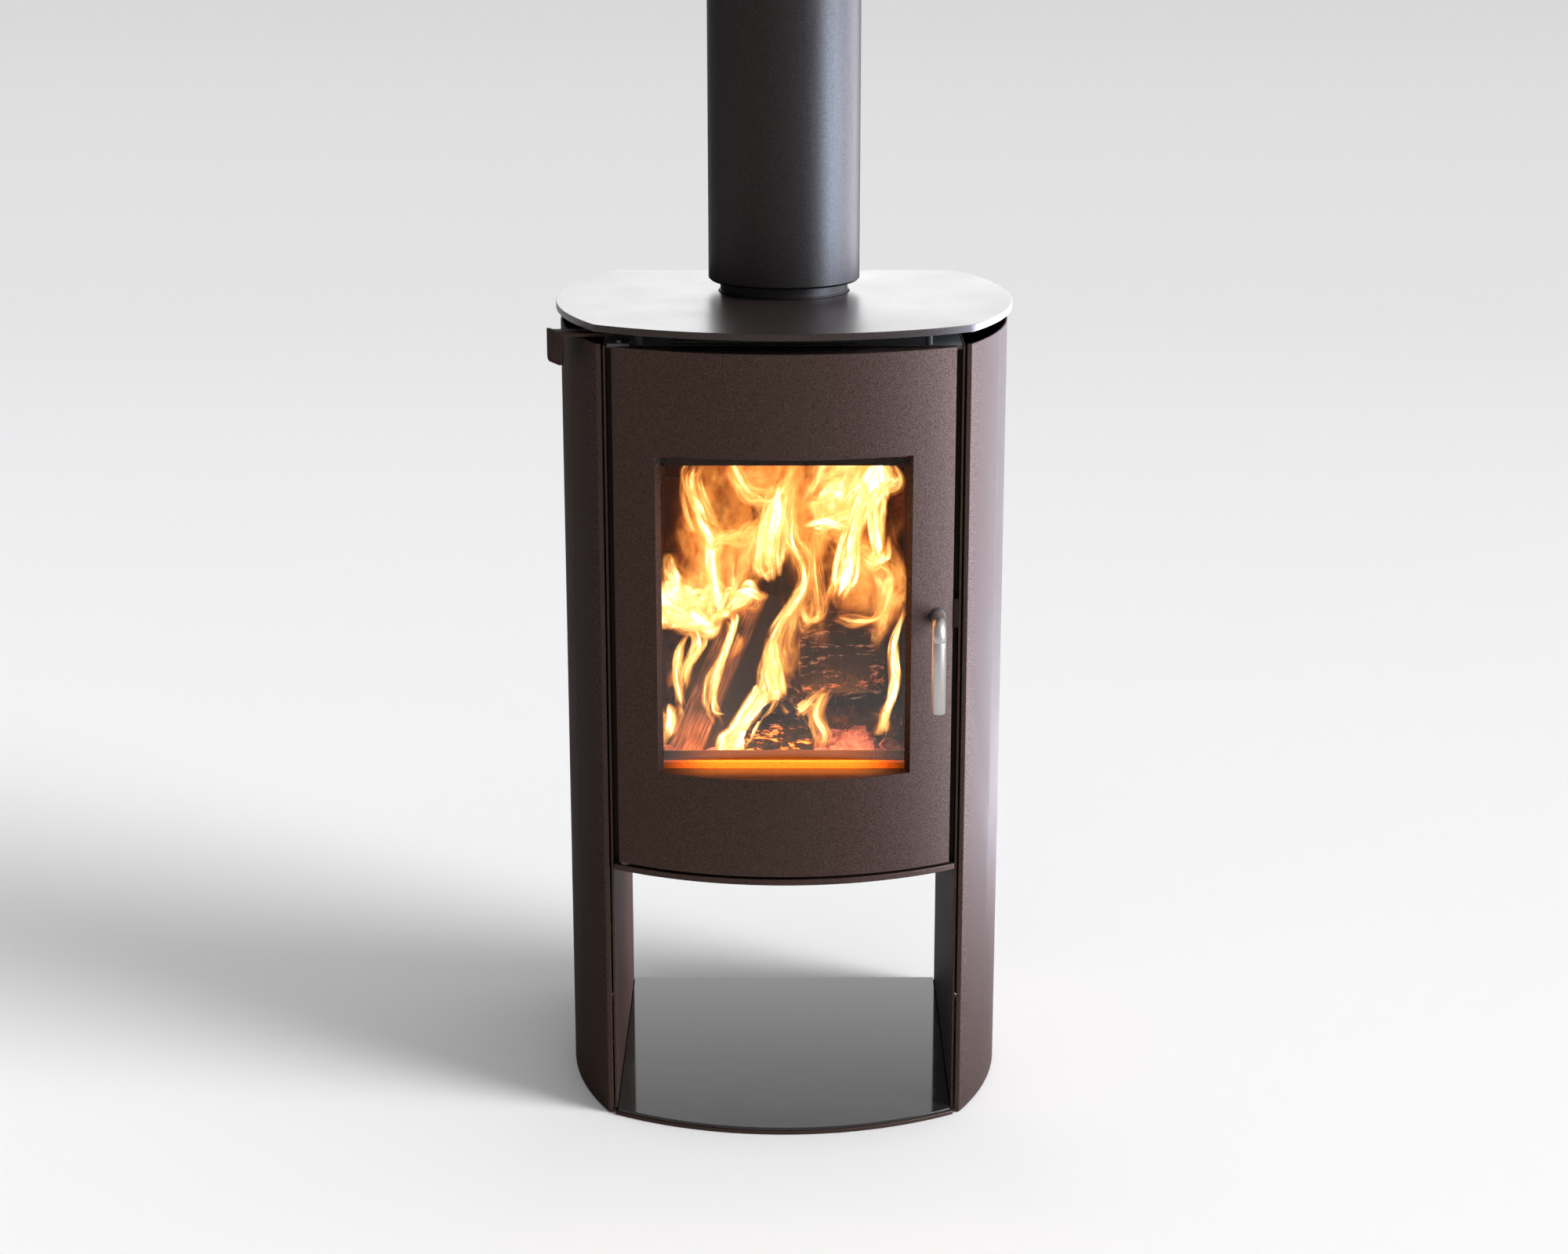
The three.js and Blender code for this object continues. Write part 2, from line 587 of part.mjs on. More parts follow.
// A rail closes the door at one end; its lug behind the back plate turns on a hinge pin.
function doorRail(z0, slots) {
  const halfX = DOOR_HALF_X - DOOR_SHEET - GAP;
  const backY = DOOR_BACK_Y - SHEET - GAP;
  const rail = lens(halfX, backY, DOOR_SHEET + 2 * GAP, z0, z0 + RAIL_THICK, slots);
  const lugBackY = HINGE_Y + HINGE_PIN_R + 3;
  const lug = plate(rectangle(-halfX, HINGE_X + 12, backY - 0.5, lugBackY), z0, z0 + RAIL_THICK);
  const hole = pillar(HINGE_X, HINGE_Y, HINGE_PIN_R + 0.2, z0 - 1, z0 + RAIL_THICK + 1);
  return cut(join(rail, lug), hole);
}

// A flat frame of constant width round the window, in X and Z.
function windowFrame(halfX, z0, z1, width, y0, y1) {
  const outer = rectangle(-halfX - width, halfX + width, z0 - width, z1 + width);
  return uprightPlate(outer, y0, y1, [rectangle(-halfX, halfX, z0, z1)]);
}

function doorBackPlate() {
  const sight = rectangle(-SIGHT_HALF_X, SIGHT_HALF_X, ...SIGHT_Z);
  const spindleHole = circle(HANDLE_X, HANDLE_Z, SPINDLE_R + GAP);
  const screwHoles = DOOR_SCREWS.map(([x, z]) => circle(x, z, 2.2, 12));
  const outline = rectangle(-DOOR_HALF_X, DOOR_HALF_X, DOOR_Z[0], DOOR_Z[1]);
  const holes = [sight, spindleHole, ...screwHoles];
  const sheet = uprightPlate(outline, DOOR_BACK_Y - SHEET, DOOR_BACK_Y, holes);
  const notch = (z0, z1) =>
    block(-DOOR_HALF_X - 1, HINGE_X + 13, DOOR_BACK_Y - SHEET - 1, DOOR_BACK_Y + 1, z0, z1);
  return cut(sheet, notch(DOOR_Z[0] - 1, DOOR_Z[0] + 10), notch(DOOR_Z[1] - 10, DOOR_Z[1] + 1));
}

function doorScrew(x, z) {
  const head = spindleAlongY(x, z, 3.8, DOOR_BACK_Y + 0.1, DOOR_BACK_Y + 2.6, 16);
  const shank = spindleAlongY(x, z, 2, DOOR_BACK_Y - 9, DOOR_BACK_Y + 1, 12);
  return join(head, shank);
}

function buildDoor() {
  add('door_skin', doorSkin(), BODY_PAINT);
  const vents = [];
  for (let i = 0; i < VENTS; i++) {
    const x = (i - (VENTS - 1) / 2) * VENT_PITCH;
    vents.push(slotAlongX(x - VENT_LENGTH / 2, x + VENT_LENGTH / 2, VENT_Y, 5));
  }
  add('door_top_rail', doorRail(DOOR_Z[1] - RAIL_THICK, vents), BODY_PAINT);
  add('door_bottom_rail', doorRail(DOOR_Z[0], []), BODY_PAINT);
  add('door_back_plate', doorBackPlate(), BODY_PAINT);
  const pane = rectangle(
    -SIGHT_HALF_X - 11, SIGHT_HALF_X + 11, WINDOW_Z[0] - 10.5, WINDOW_Z[1] + 10.5);
  add('door_glass', uprightPlate(pane, ...GLASS_Y), CLEAR_GLASS);
  const rope = 8;
  const gasket = windowFrame(
    SIGHT_HALF_X + 1.5, SIGHT_Z[0] - 11, SIGHT_Z[1] + 11, rope,
    GLASS_Y[1] + 0.2, DOOR_BACK_Y - SHEET - 0.2);
  add('glass_gasket', gasket, ROPE);
  const seal = windowFrame(
    FRAME_OPENING_X + 7, DOOR_Z[0] + 10.5, FRAME_OPENING_Z[1] + 4, rope,
    DOOR_BACK_Y + 0.2, FRAME_Y[0] - 0.3);
  add('door_seal', seal, ROPE);
  add('handle_bush',
    tubeAlongY(HANDLE_X, HANDLE_Z, SPINDLE_R + 0.2, BUSH_R, HANDLE_ROOT_Y + 0.4, HANDLE_ROOT_Y + 10),
    CAST_IRON);
  DOOR_SCREWS.forEach(([x, z], i) => add(`door_screw_${i + 1}`, doorScrew(x, z), ZINC));
}

// ---------------------------------------------------------------- handle and latch
function buildHandle() {
  const bendY = HANDLE_ROD_Y + HANDLE_BEND_R;
  const path = new THREE.CurvePath();
  const at = (y, z) => new THREE.Vector3(HANDLE_X, y, z);
  path.add(new THREE.LineCurve3(at(HANDLE_ROOT_Y, HANDLE_Z), at(bendY, HANDLE_Z)));
  path.add(new THREE.QuadraticBezierCurve3(
    at(bendY, HANDLE_Z), at(HANDLE_ROD_Y, HANDLE_Z), at(HANDLE_ROD_Y, HANDLE_Z - HANDLE_BEND_R)));
  path.add(new THREE.LineCurve3(
    at(HANDLE_ROD_Y, HANDLE_Z - HANDLE_BEND_R), at(HANDLE_ROD_Y, HANDLE_END_Z)));
  const rod = new THREE.ExtrudeGeometry(toShape(circle(0, 0, HANDLE_R, 20)),
    { steps: 24, bevelEnabled: false, extrudePath: path });
  add('door_handle', rod, STAINLESS);
  add('handle_spindle',
    spindleAlongY(HANDLE_X, HANDLE_Z, SPINDLE_R, HANDLE_ROOT_Y + 0.1, DOOR_BACK_Y + 1), ZINC);
  const tongueY = [DOOR_BACK_Y + 1.2, DOOR_BACK_Y + 5.2];
  const tip = DOOR_HALF_X + 0.4;
  const tongue = uprightPlate([
    [HANDLE_X - 4, HANDLE_Z - 5.5], [HANDLE_X + 4, HANDLE_Z - 5.5], [tip, HANDLE_Z - 4],
    [tip, HANDLE_Z + 4], [HANDLE_X + 4, HANDLE_Z + 5.5], [HANDLE_X - 4, HANDLE_Z + 5.5],
  ], tongueY[0], tongueY[1]);
  add('latch_tongue', tongue, ZINC);
}

// ---------------------------------------------------------------- air lever and shutter
function airSlotRow(shift) {
  const slots = [];
  for (let i = 0; i < AIR_SLOTS; i++) {
    const x = (i - (AIR_SLOTS - 1) / 2) * AIR_SLOT_PITCH + shift;
    slots.push(slotAlongX(x - 7, x + 7, AIR_SLOT_Y, 8));
  }
  return slots;
}

function buildAirControl() {
  const [pivotX, pivotY] = LEVER_PIVOT;
  add('lever_pivot', pillar(pivotX, pivotY, LEVER_PIVOT_R, LID_Z[0] + 1, LEVER_Z[1] + 3), ZINC);

  const [[tabX0, tabY0], [tabX1, tabY1]] = LEVER_TAB;
  const rearY = LEVER_FRONT_Y + LEVER_WIDTH;
  const rearX = tabX0 + (rearY - tabY0) * (tabX1 - tabX0) / (tabY1 - tabY0);
  const bar = plate([
    [tabX0, LEVER_FRONT_Y], [pivotX - 7, LEVER_FRONT_Y], [pivotX - 7, pivotY - DRIVE_ARM - 7],
    [pivotX + 7, pivotY - DRIVE_ARM - 7], [pivotX + 14, pivotY], [pivotX + 8, pivotY + 12],
    [pivotX - 8, pivotY + 12], [pivotX - 22, rearY], [rearX, rearY],
  ], LEVER_Z[0], LEVER_Z[1]);
  const length = Math.hypot(tabX1 - tabX0, tabY1 - tabY0);
  const corner = 6;
  const bottom = LEVER_TAB_BOTTOM - LEVER_Z[1];
  const tabOutline = [
    [0, 0], [0, bottom + corner], ...roundCorner(corner, bottom + corner, corner, Math.PI),
    ...roundCorner(length - corner, bottom + corner, corner, 1.5 * Math.PI), [length, 0],
  ];
  const tab = uprightPlate(tabOutline, -LEVER_THICK, 0);
  tab.rotateZ(Math.atan2(tabY1 - tabY0, tabX1 - tabX0));
  tab.translate(tabX0, tabY0, LEVER_Z[1]);
  const pin = pillar(pivotX, pivotY - DRIVE_ARM, DRIVE_PIN_R, SHUTTER_Z[0] + GAP, LEVER_Z[0] + 1, 16);
  const pivotHole = pillar(pivotX, pivotY, LEVER_PIVOT_R + 0.15, LEVER_Z[0] - 1, LEVER_Z[1] + 1);
  add('air_lever', cut(join(bar, tab, pin), pivotHole), BODY_PAINT);

  const forkHalf = DRIVE_PIN_R + 0.4;
  const fork = rectangle(pivotX - forkHalf, pivotX + forkHalf, AIR_SLOT_Y - 5, AIR_SLOT_Y + 5);
  const shutter = rectangle(pivotX - 9, SHUTTER_END_X, AIR_SLOT_Y - 9, AIR_SLOT_Y + 9);
  add('air_shutter', plate(shutter, ...SHUTTER_Z, [fork, ...airSlotRow(SHUTTER_SHIFT)]), RAW_STEEL);
}

// ---------------------------------------------------------------- ash pan
function buildAshPan() {
  const inner = PAN_HALF_X - PAN_SHEET;
  const tray = cut(
    block(-PAN_HALF_X, PAN_HALF_X, PAN_Y[0], PAN_Y[1], PAN_Z[0], PAN_Z[1]),
    block(-inner, inner, PAN_Y[0] + PAN_SHEET, PAN_Y[1] - PAN_SHEET, PAN_Z[0] + PAN_SHEET, PAN_Z[1] + 1));
  add('ash_pan', tray, RAW_STEEL);
}

buildBase();
buildPanels();
buildTop();
buildFirebox();
buildHearth();
buildRear();
buildFlue();
buildHinges();
buildDoor();
buildHandle();
buildAirControl();
buildAshPan();

export default stove;
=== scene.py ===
"""Looks of a free-standing wood burning stove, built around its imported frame.

Metres, +Z up. The flue's axis is X = Y = 0, the floor is Z = 0 and the door faces -Y.
"""
import json
import math
import random

import bmesh
import bpy
from mathutils import Matrix, Vector, noise


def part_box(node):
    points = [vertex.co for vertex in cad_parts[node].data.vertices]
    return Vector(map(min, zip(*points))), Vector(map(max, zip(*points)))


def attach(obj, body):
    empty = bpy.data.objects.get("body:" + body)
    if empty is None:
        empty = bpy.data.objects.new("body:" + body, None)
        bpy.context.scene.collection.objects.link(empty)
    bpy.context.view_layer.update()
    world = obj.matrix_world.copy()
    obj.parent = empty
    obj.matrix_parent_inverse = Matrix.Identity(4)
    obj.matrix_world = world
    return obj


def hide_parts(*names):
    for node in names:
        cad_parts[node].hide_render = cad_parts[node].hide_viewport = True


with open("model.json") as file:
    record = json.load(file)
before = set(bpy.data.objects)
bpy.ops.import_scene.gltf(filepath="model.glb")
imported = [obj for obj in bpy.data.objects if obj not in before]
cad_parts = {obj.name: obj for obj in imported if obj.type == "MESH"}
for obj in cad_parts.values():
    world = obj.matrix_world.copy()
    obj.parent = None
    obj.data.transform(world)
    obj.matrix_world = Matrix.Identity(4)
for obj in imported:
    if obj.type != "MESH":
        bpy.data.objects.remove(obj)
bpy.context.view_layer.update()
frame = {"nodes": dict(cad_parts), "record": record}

MM = 0.001
BODY = "stove_body"
FRONT_R = 385 * MM               # rolled front of the door, the top plate and the base
SHEET = 4 * MM                   # door sheet
WINDOW_HALF_X = 143 * MM         # window at the rolled face
WINDOW_INNER_X = 137.4 * MM      # window at the back of its slanting reveals
WINDOW_Z = (434.5 * MM, 803.5 * MM)
REVEAL_BACK_Y = -259.5 * MM
ARC_STEPS = 96

CAMERA_LENS = 66.9
CAMERA_PLACE = (0, -3.4223, 1.4863)
CAMERA_TILT = 74.39              # degrees, 90 looks level
FLOOR_SIZE = 160
KEY_AT = (112, 25)               # azimuth and elevation of the main light
KEY_STRENGTH = 21.0
SCREEN_STRENGTH = 4.5            # low bright screen behind the stove
AMBIENT = 0.59
LEFT_SHARE, RIGHT_SHARE = 0.40, 1.60   # of the ambient light that comes from each side
PANEL_CORNER_X = 207.7 * MM      # where a side panel's rolled sheet meets its lips
PANEL_SHEET = 2.5 * MM
TOP_CORNER = (209.5 * MM, -244 * MM)   # where the top plate's front curve meets its side curves
PIN_HOLE_R = 3.2 * MM            # hole for the lower hinge pin
BUSH_HOLE_R = 9.3 * MM           # hole in the door for the handle's bush
MERGE = 0.01 * MM                # vertices closer than this are joined
BRICK_COURSES, BRICK_JOINT = 4, 1.6 * MM


class Box:
    """The box of a CAD node at rest."""

    def __init__(self, node):
        low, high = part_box(node)
        self.x0, self.y0, self.z0 = low
        self.x1, self.y1, self.z1 = high
        self.centre = (low + high) / 2


# ------------------------------------------------------------------ camera, floor and light
def make_camera():
    camera = bpy.data.objects.new("camera", bpy.data.cameras.new("camera"))
    camera.data.sensor_width = 36
    camera.data.lens = CAMERA_LENS
    camera.location = CAMERA_PLACE
    camera.rotation_euler = (math.radians(CAMERA_TILT), 0, 0)
    bpy.context.scene.collection.objects.link(camera)
    bpy.context.scene.camera = camera


def make_floor():
    """A pale floor that runs on past the horizon of the view. Its grey darkens with distance: painted shade
    for light that falls off towards the back.
    """
    bpy.ops.mesh.primitive_plane_add(size=FLOOR_SIZE, location=(0, 0, -0.3 * MM))
    floor = bpy.context.object
    floor.name = "studio_floor"
    s = Shader("studio_floor")
    where = s.place()
    depth = s.node("ShaderNodeSeparateXYZ", {0: where}).outputs["Y"]
    cloud = s.times(s.noise(where, 1.3, detail=2), 0.02)
    # painted shade: the floor's grey runs darker with distance, standing in for light falling off away from
    # the stove
    far = s.plus(s.span(depth, -1.0, 19.0, 0, 1), cloud)
    falloff_shade_greys = ((0.0, 0.84), (0.18, 0.74), (0.33, 0.66), (1.0, 0.59))
    s.set("Base Color", s.ramp(far, [(at, (grey, grey, grey)) for at, grey in falloff_shade_greys]))
    s.set("Roughness", 0.85)
    s.set("Specular IOR Level", 0.0)
    floor.data.materials.append(s.material)


def direction(azimuth, elevation):
    """A unit vector. Azimuth is in degrees from straight behind the stove, towards the right."""
    a, e = math.radians(azimuth), math.radians(elevation)
    return math.sin(a) * math.cos(e), math.cos(a) * math.cos(e), math.sin(e)


def make_world():
    """A strong soft light at the right front, a low bright screen behind, and less light from the left."""
    world = bpy.data.worlds.new("studio")
    bpy.context.scene.world = world
    world.use_nodes = True
    s = Tree(world.node_tree)
    ray = s.node("ShaderNodeTexCoord", {}).outputs["Generated"]

    def patch(toward, inner, outer, strength):
        """A round patch of light, full inside one angle and fading out to another."""
        dot = s.node("ShaderNodeVectorMath", {0: ray, 1: toward}, operation="DOT_PRODUCT").outputs["Value"]
        soft = s.node("ShaderNodeMapRange", {
            "Value": dot, "From Min": math.cos(math.radians(outer)),
            "From Max": math.cos(math.radians(inner)), "To Max": strength}, interpolation_type="SMOOTHSTEP")
        return soft.outputs[0]

    x, y, height = s.node("ShaderNodeSeparateXYZ", {0: ray}).outputs
    azimuth = s.math("ABSOLUTE", s.math("ARCTAN2", x, y))
    key = patch(direction(*KEY_AT), 8, 19, KEY_STRENGTH)
    narrow = s.span(azimuth, math.radians(7), math.radians(22), SCREEN_STRENGTH, 0)
    low = s.span(height, math.sin(math.radians(15)), math.sin(math.radians(26.5)), 1, 0)
    around = s.span(x, -1, 1, LEFT_SHARE * AMBIENT, RIGHT_SHARE * AMBIENT)
    total = s.plus(s.plus(key, s.times(narrow, low)), around)
    background = world.node_tree.nodes["Background"]
    background.inputs["Color"].default_value = (0.985, 0.985, 1.0, 1)
    s.put(background.inputs["Strength"], total)


def make_cards():
    """Bright cards on the right. They show only as sheen on the painted steel, and light nothing else."""
    bare = bpy.data.collections.new("bare_steel_and_glass")
    for shiny in (bpy.data.objects["handle_rod"], frame["nodes"]["door_glass"]):
        bare.objects.link(shiny)
    for item in bare.collection_objects:
        item.light_linking.link_state = "EXCLUDE"
    aim_x, reach, width = 0.15, 0.8, 0.62
    rear_colour, front_colour = (0.82, 0.86, 1.0), (0.62, 0.78, 1.0)
    for name, azimuth, height, strength, colour in (
            ("card_rear", 54, 1.4, 24.0, rear_colour), ("card_low", 54, 0.20, 44.0, rear_colour),
            ("card_front", 104, 1.4, 28.0, front_colour)):
        x, y, _ = direction(azimuth, 0)
        place, target = (aim_x + reach * x, reach * y, height / 2), (aim_x, 0, height / 2)
        power = strength * math.pi * width * height
        card = area_light(name, place, target, (width, height), power, colour)
        card.visible_diffuse = False
        card.visible_transmission = False
        card.light_linking.receiver_collection = bare


def area_light(name, place, target, size, power, colour):
    light = bpy.data.lights.new(name, "AREA")
    light.shape = "RECTANGLE"
    light.size, light.size_y = size
    light.energy = power
    light.color = colour
    lamp = bpy.data.objects.new(name, light)
    lamp.location = place
    lamp.rotation_euler = (Vector(target) - Vector(place)).to_track_quat("-Z", "Y").to_euler()
    lamp.visible_camera = False
    bpy.context.scene.collection.objects.link(lamp)
    return lamp


# ------------------------------------------------------------------ shader helper
def grow_ramp(node, stops):
    elements = node.color_ramp.elements
    while len(elements) < len(stops):
        elements.new(0.5)
    for element, (at, colour) in zip(elements, stops):
        element.position = at
        element.color = (*colour, 1)


class Tree:
    """Short calls that add nodes to a shader tree and join them."""

    def __init__(self, tree):
        self.tree = tree

    def put(self, socket, value):
        if isinstance(value, bpy.types.NodeSocket):
            self.tree.links.new(value, socket)
        elif isinstance(value, tuple) and len(value) == 3 and socket.type == "RGBA":
            socket.default_value = (*value, 1)
        else:
            socket.default_value = value

    def node(self, kind, inputs, **settings):
        made = self.tree.nodes.new(kind)
        for name, value in settings.items():
            setattr(made, name, value)
        for name, value in inputs.items():
            self.put(made.inputs[name], value)
        return made

    def place(self, scale=(1, 1, 1)):
        """Coordinates in the object's own frame, stretched."""
        where = self.node("ShaderNodeTexCoord", {}).outputs["Object"]
        return self.node("ShaderNodeMapping", {"Vector": where, "Scale": scale}).outputs[0]

    def noise(self, vector, scale, detail=2.0, roughness=0.5, distortion=0.0):
        made = self.node("ShaderNodeTexNoise", {
            "Vector": vector, "Scale": scale, "Detail": detail, "Roughness": roughness,
            "Distortion": distortion})
        return made.outputs["Fac"]

    def cells(self, vector, scale, feature="F1"):
        made = self.node("ShaderNodeTexVoronoi", {"Vector": vector, "Scale": scale}, feature=feature)
        return made.outputs["Distance"]

    def crooked(self, vector, scale, amount):
        """A place moved about by noise, so that a regular pattern loses its straight lines."""
        push = self.node("ShaderNodeTexNoise", {"Vector": vector, "Scale": scale, "Detail": 3.0})
        return self.node("ShaderNodeVectorMath", {
            0: push.outputs["Color"], 1: (amount, amount, amount), 2: vector},
            operation="MULTIPLY_ADD").outputs[0]

    def ramp(self, value, stops):
        made = self.node("ShaderNodeValToRGB", {"Fac": value})
        grow_ramp(made, stops)
        return made.outputs["Color"]

    def shades(self, value, low, dark, high, light):
        """A colour that runs from dark to light while value runs from low to high."""
        return self.ramp(value, [(low, dark), (high, light)])

    def math(self, operation, a, b=0.0):
        return self.node("ShaderNodeMath", {0: a, 1: b}, operation=operation).outputs[0]

    def plus(self, a, b):
        return self.math("ADD", a, b)

    def times(self, a, b):
        return self.math("MULTIPLY", a, b)

    def span(self, value, low, high, to_low, to_high):
        """value moved from low..high to to_low..to_high, and held between them."""
        made = self.node("ShaderNodeMapRange", {
            "Value": value, "From Min": low, "From Max": high, "To Min": to_low, "To Max": to_high})
        return made.outputs[0]

    def mix(self, factor, a, b):
        made = self.node("ShaderNodeMix", {"Factor": factor, 6: a, 7: b}, data_type="RGBA")
        return made.outputs[2]

    def attribute(self, name):
        return self.node("ShaderNodeAttribute", {}, attribute_name=name).outputs["Fac"]


class Shader(Tree):
    """A new material and the tree of its surface."""

    def __init__(self, name):
        self.material = bpy.data.materials.new(name)
        self.material.use_nodes = True
        super().__init__(self.material.node_tree)
        self.surface = self.tree.nodes["Principled BSDF"]

    def set(self, name, value):
        self.put(self.surface.inputs[name], value)

    def bump(self, height, strength, distance):
        """Small relief, which closes the material."""
        made = self.node("ShaderNodeBump", {"Height": height, "Strength": strength, "Distance": distance})
        self.set("Normal", made.outputs[0])
        return self.material


# ------------------------------------------------------------------ materials
def paint(name, dark, light, roughness, metallic=0.8, rim=0.3, grain=0.10):
    """Fine-grained metallic coat: a brown base, pale grains and a slightly uneven sheen.
    rim tells how much the sheen grows at low angles."""
    s = Shader(name)
    where = s.place()
    fine = s.noise(where, 620, detail=3, roughness=0.65)
    speck = s.cells(where, 900)
    broad = s.noise(where, 7, detail=3)
    tone = s.plus(s.times(fine, 0.75), s.times(speck, 0.35))
    s.set("Base Color", s.shades(tone, 0.38, dark, 0.72, light))
    wear = s.plus(s.times(fine, 0.16), s.times(broad, 0.10))
    s.set("Roughness", s.plus(wear, roughness - 0.13))
    s.set("Metallic", metallic)
    s.set("Specular IOR Level", 0.25)
    s.set("Specular Tint", (rim, rim, rim))
    return s.bump(tone, grain, 0.25 * MM)


def pipe_paint():
    """Satin stove paint on rolled pipe, with faint marks that run along it."""
    s = Shader("flue_paint")
    fine = s.noise(s.place(), 700, detail=3, roughness=0.6)
    streak = s.noise(s.place((60, 60, 2.5)), 3, detail=4)
    s.set("Base Color", s.shades(fine, 0.35, (0.020, 0.0175, 0.017), 0.7, (0.036, 0.032, 0.031)))
    s.set("Metallic", 0.85)
    s.set("Roughness", s.plus(s.times(streak, 0.14), 0.33))
    s.set("Specular IOR Level", 0.2)
    s.set("Specular Tint", (0.48, 0.48, 0.48))
    return s.bump(s.plus(fine, s.times(streak, 0.4)), 0.08, 0.2 * MM)


def dark_mirror():
    """The glossy dark sheet of the log store, with a little dust."""
    s = Shader("black_glass")
    dust = s.noise(s.place(), 45, detail=6, roughness=0.7)
    s.set("Base Color", s.shades(dust, 0.45, (0.012, 0.011, 0.010), 0.75, (0.022, 0.020, 0.019)))
    s.set("Roughness", s.span(dust, 0.45, 0.8, 0.045, 0.10))
    s.set("Specular IOR Level", 0.40)
    s.set("Specular Tint", (1.0, 0.95, 0.93))
    return s.bump(dust, 0.01, 0.1 * MM)


def brushed_steel(name, colour, roughness, scale):
    """Steel with fine brush marks along one way."""
    s = Shader(name)
    marks = s.noise(s.place(scale), 1, detail=5, roughness=0.7)
    low = tuple(0.82 * c for c in colour)
    s.set("Base Color", s.shades(marks, 0.3, low, 0.7, colour))
    s.set("Metallic", 1.0)
    s.set("Roughness", s.span(marks, 0.3, 0.7, roughness - 0.05, roughness + 0.08))
    return s.bump(marks, 0.08, 0.1 * MM)


def heatproof_steel():
    s = Shader("raw_steel")
    where = s.place()
    fine = s.noise(where, 260, detail=5, roughness=0.7)
    stain = s.noise(where, 14, detail=4)
    tone = s.times(fine, stain)
    s.set("Base Color", s.shades(tone, 0.12, (0.022, 0.020, 0.019), 0.45, (0.075, 0.066, 0.058)))
    s.set("Roughness", s.span(stain, 0.3, 0.7, 0.5, 0.72))
    return s.bump(fine, 0.15, 0.2 * MM)


def cast_iron():
    s = Shader("cast_iron")
    where = s.place()
    sand = s.noise(where, 420, detail=6, roughness=0.75)
    soot = s.noise(where, 22, detail=5)
    s.set("Base Color", s.shades(soot, 0.35, (0.016, 0.014, 0.013), 0.7, (0.06, 0.052, 0.047)))
    s.set("Metallic", 0.35)
    s.set("Roughness", s.span(sand, 0.3, 0.7, 0.55, 0.8))
    return s.bump(sand, 0.5, 0.5 * MM)


def vermiculite():
    """Pressed lining board: golden flakes, browned and blackened by the fire."""
    s = Shader("vermiculite")
    where = s.place()
    flakes = s.cells(where, 260)
    soot = s.noise(where, 9, detail=6, roughness=0.65, distortion=0.8)
    clean = s.shades(flakes, 0.1, (0.09, 0.030, 0.013), 0.6, (0.17, 0.062, 0.027))
    burnt = s.shades(flakes, 0.1, (0.010, 0.005, 0.003), 0.6, (0.030, 0.012, 0.006))
    s.set("Base Color", s.mix(s.span(soot, 0.32, 0.50, 0, 1), clean, burnt))
    s.set("Roughness", 0.95)
    s.set("Specular IOR Level", 0.2)
    return s.bump(s.plus(flakes, soot), 0.6, 1.2 * MM)


def clear_glass():
    """Ceramic glass: it shows what is behind it and mirrors the floor, mostly low down."""
    s = Shader("door_glass")
    haze = s.noise(s.place(), 5, detail=4)
    through = s.node("ShaderNodeBsdfTransparent", {"Color": (0.96, 0.94, 0.91, 1)})
    smooth = s.span(haze, 0.3, 0.7, 0.02, 0.05)
    gloss = s.node("ShaderNodeBsdfGlossy", {"Color": (1, 1, 1, 1), "Roughness": smooth})
    edge = s.node("ShaderNodeFresnel", {"IOR": 1.45})
    where = s.node("ShaderNodeTexCoord", {}).outputs["Generated"]
    height = s.node("ShaderNodeSeparateXYZ", {0: where}).outputs["Z"]
    share = s.times(edge.outputs[0], s.span(height, 0.1, 0.7, 1.0, 0.15))
    share = s.math("MINIMUM", share, 0.3)
    both = s.node("ShaderNodeMixShader", {0: share, 1: through.outputs[0], 2: gloss.outputs[0]})
    s.put(s.tree.nodes["Material Output"].inputs["Surface"], both.outputs[0])
    s.tree.nodes.remove(s.surface)
    return s.material


def rope():
    """Knitted glass-fibre rope."""
    s = Shader("rope")
    knit = s.node("ShaderNodeTexWave", {
        "Vector": s.place(), "Scale": 120.0, "Distortion": 3.0, "Detail": 2.0}, bands_direction="DIAGONAL")
    height = knit.outputs["Fac"]
    s.set("Base Color", s.shades(height, 0.2, (0.020, 0.019, 0.018), 0.8, (0.085, 0.080, 0.074)))
    s.set("Roughness", 0.95)
    s.set("Specular IOR Level", 0.1)
    return s.bump(height, 0.8, 0.8 * MM)


def heat_stained(name, scale, detail, dark, light, roughness, specular, relief):
    """Something browned by the fire: uneven colour and a little relief."""
    s = Shader(name)
    stain = s.noise(s.place(scale), 1, detail=detail, roughness=0.5 if detail < 5 else 0.7)
    s.set("Base Color", s.shades(stain, 0.3, dark, 0.7, light))
    s.set("Roughness", roughness)
    s.set("Specular IOR Level", specular)
    return s.bump(stain, 0.3, relief)


MATERIALS = {}


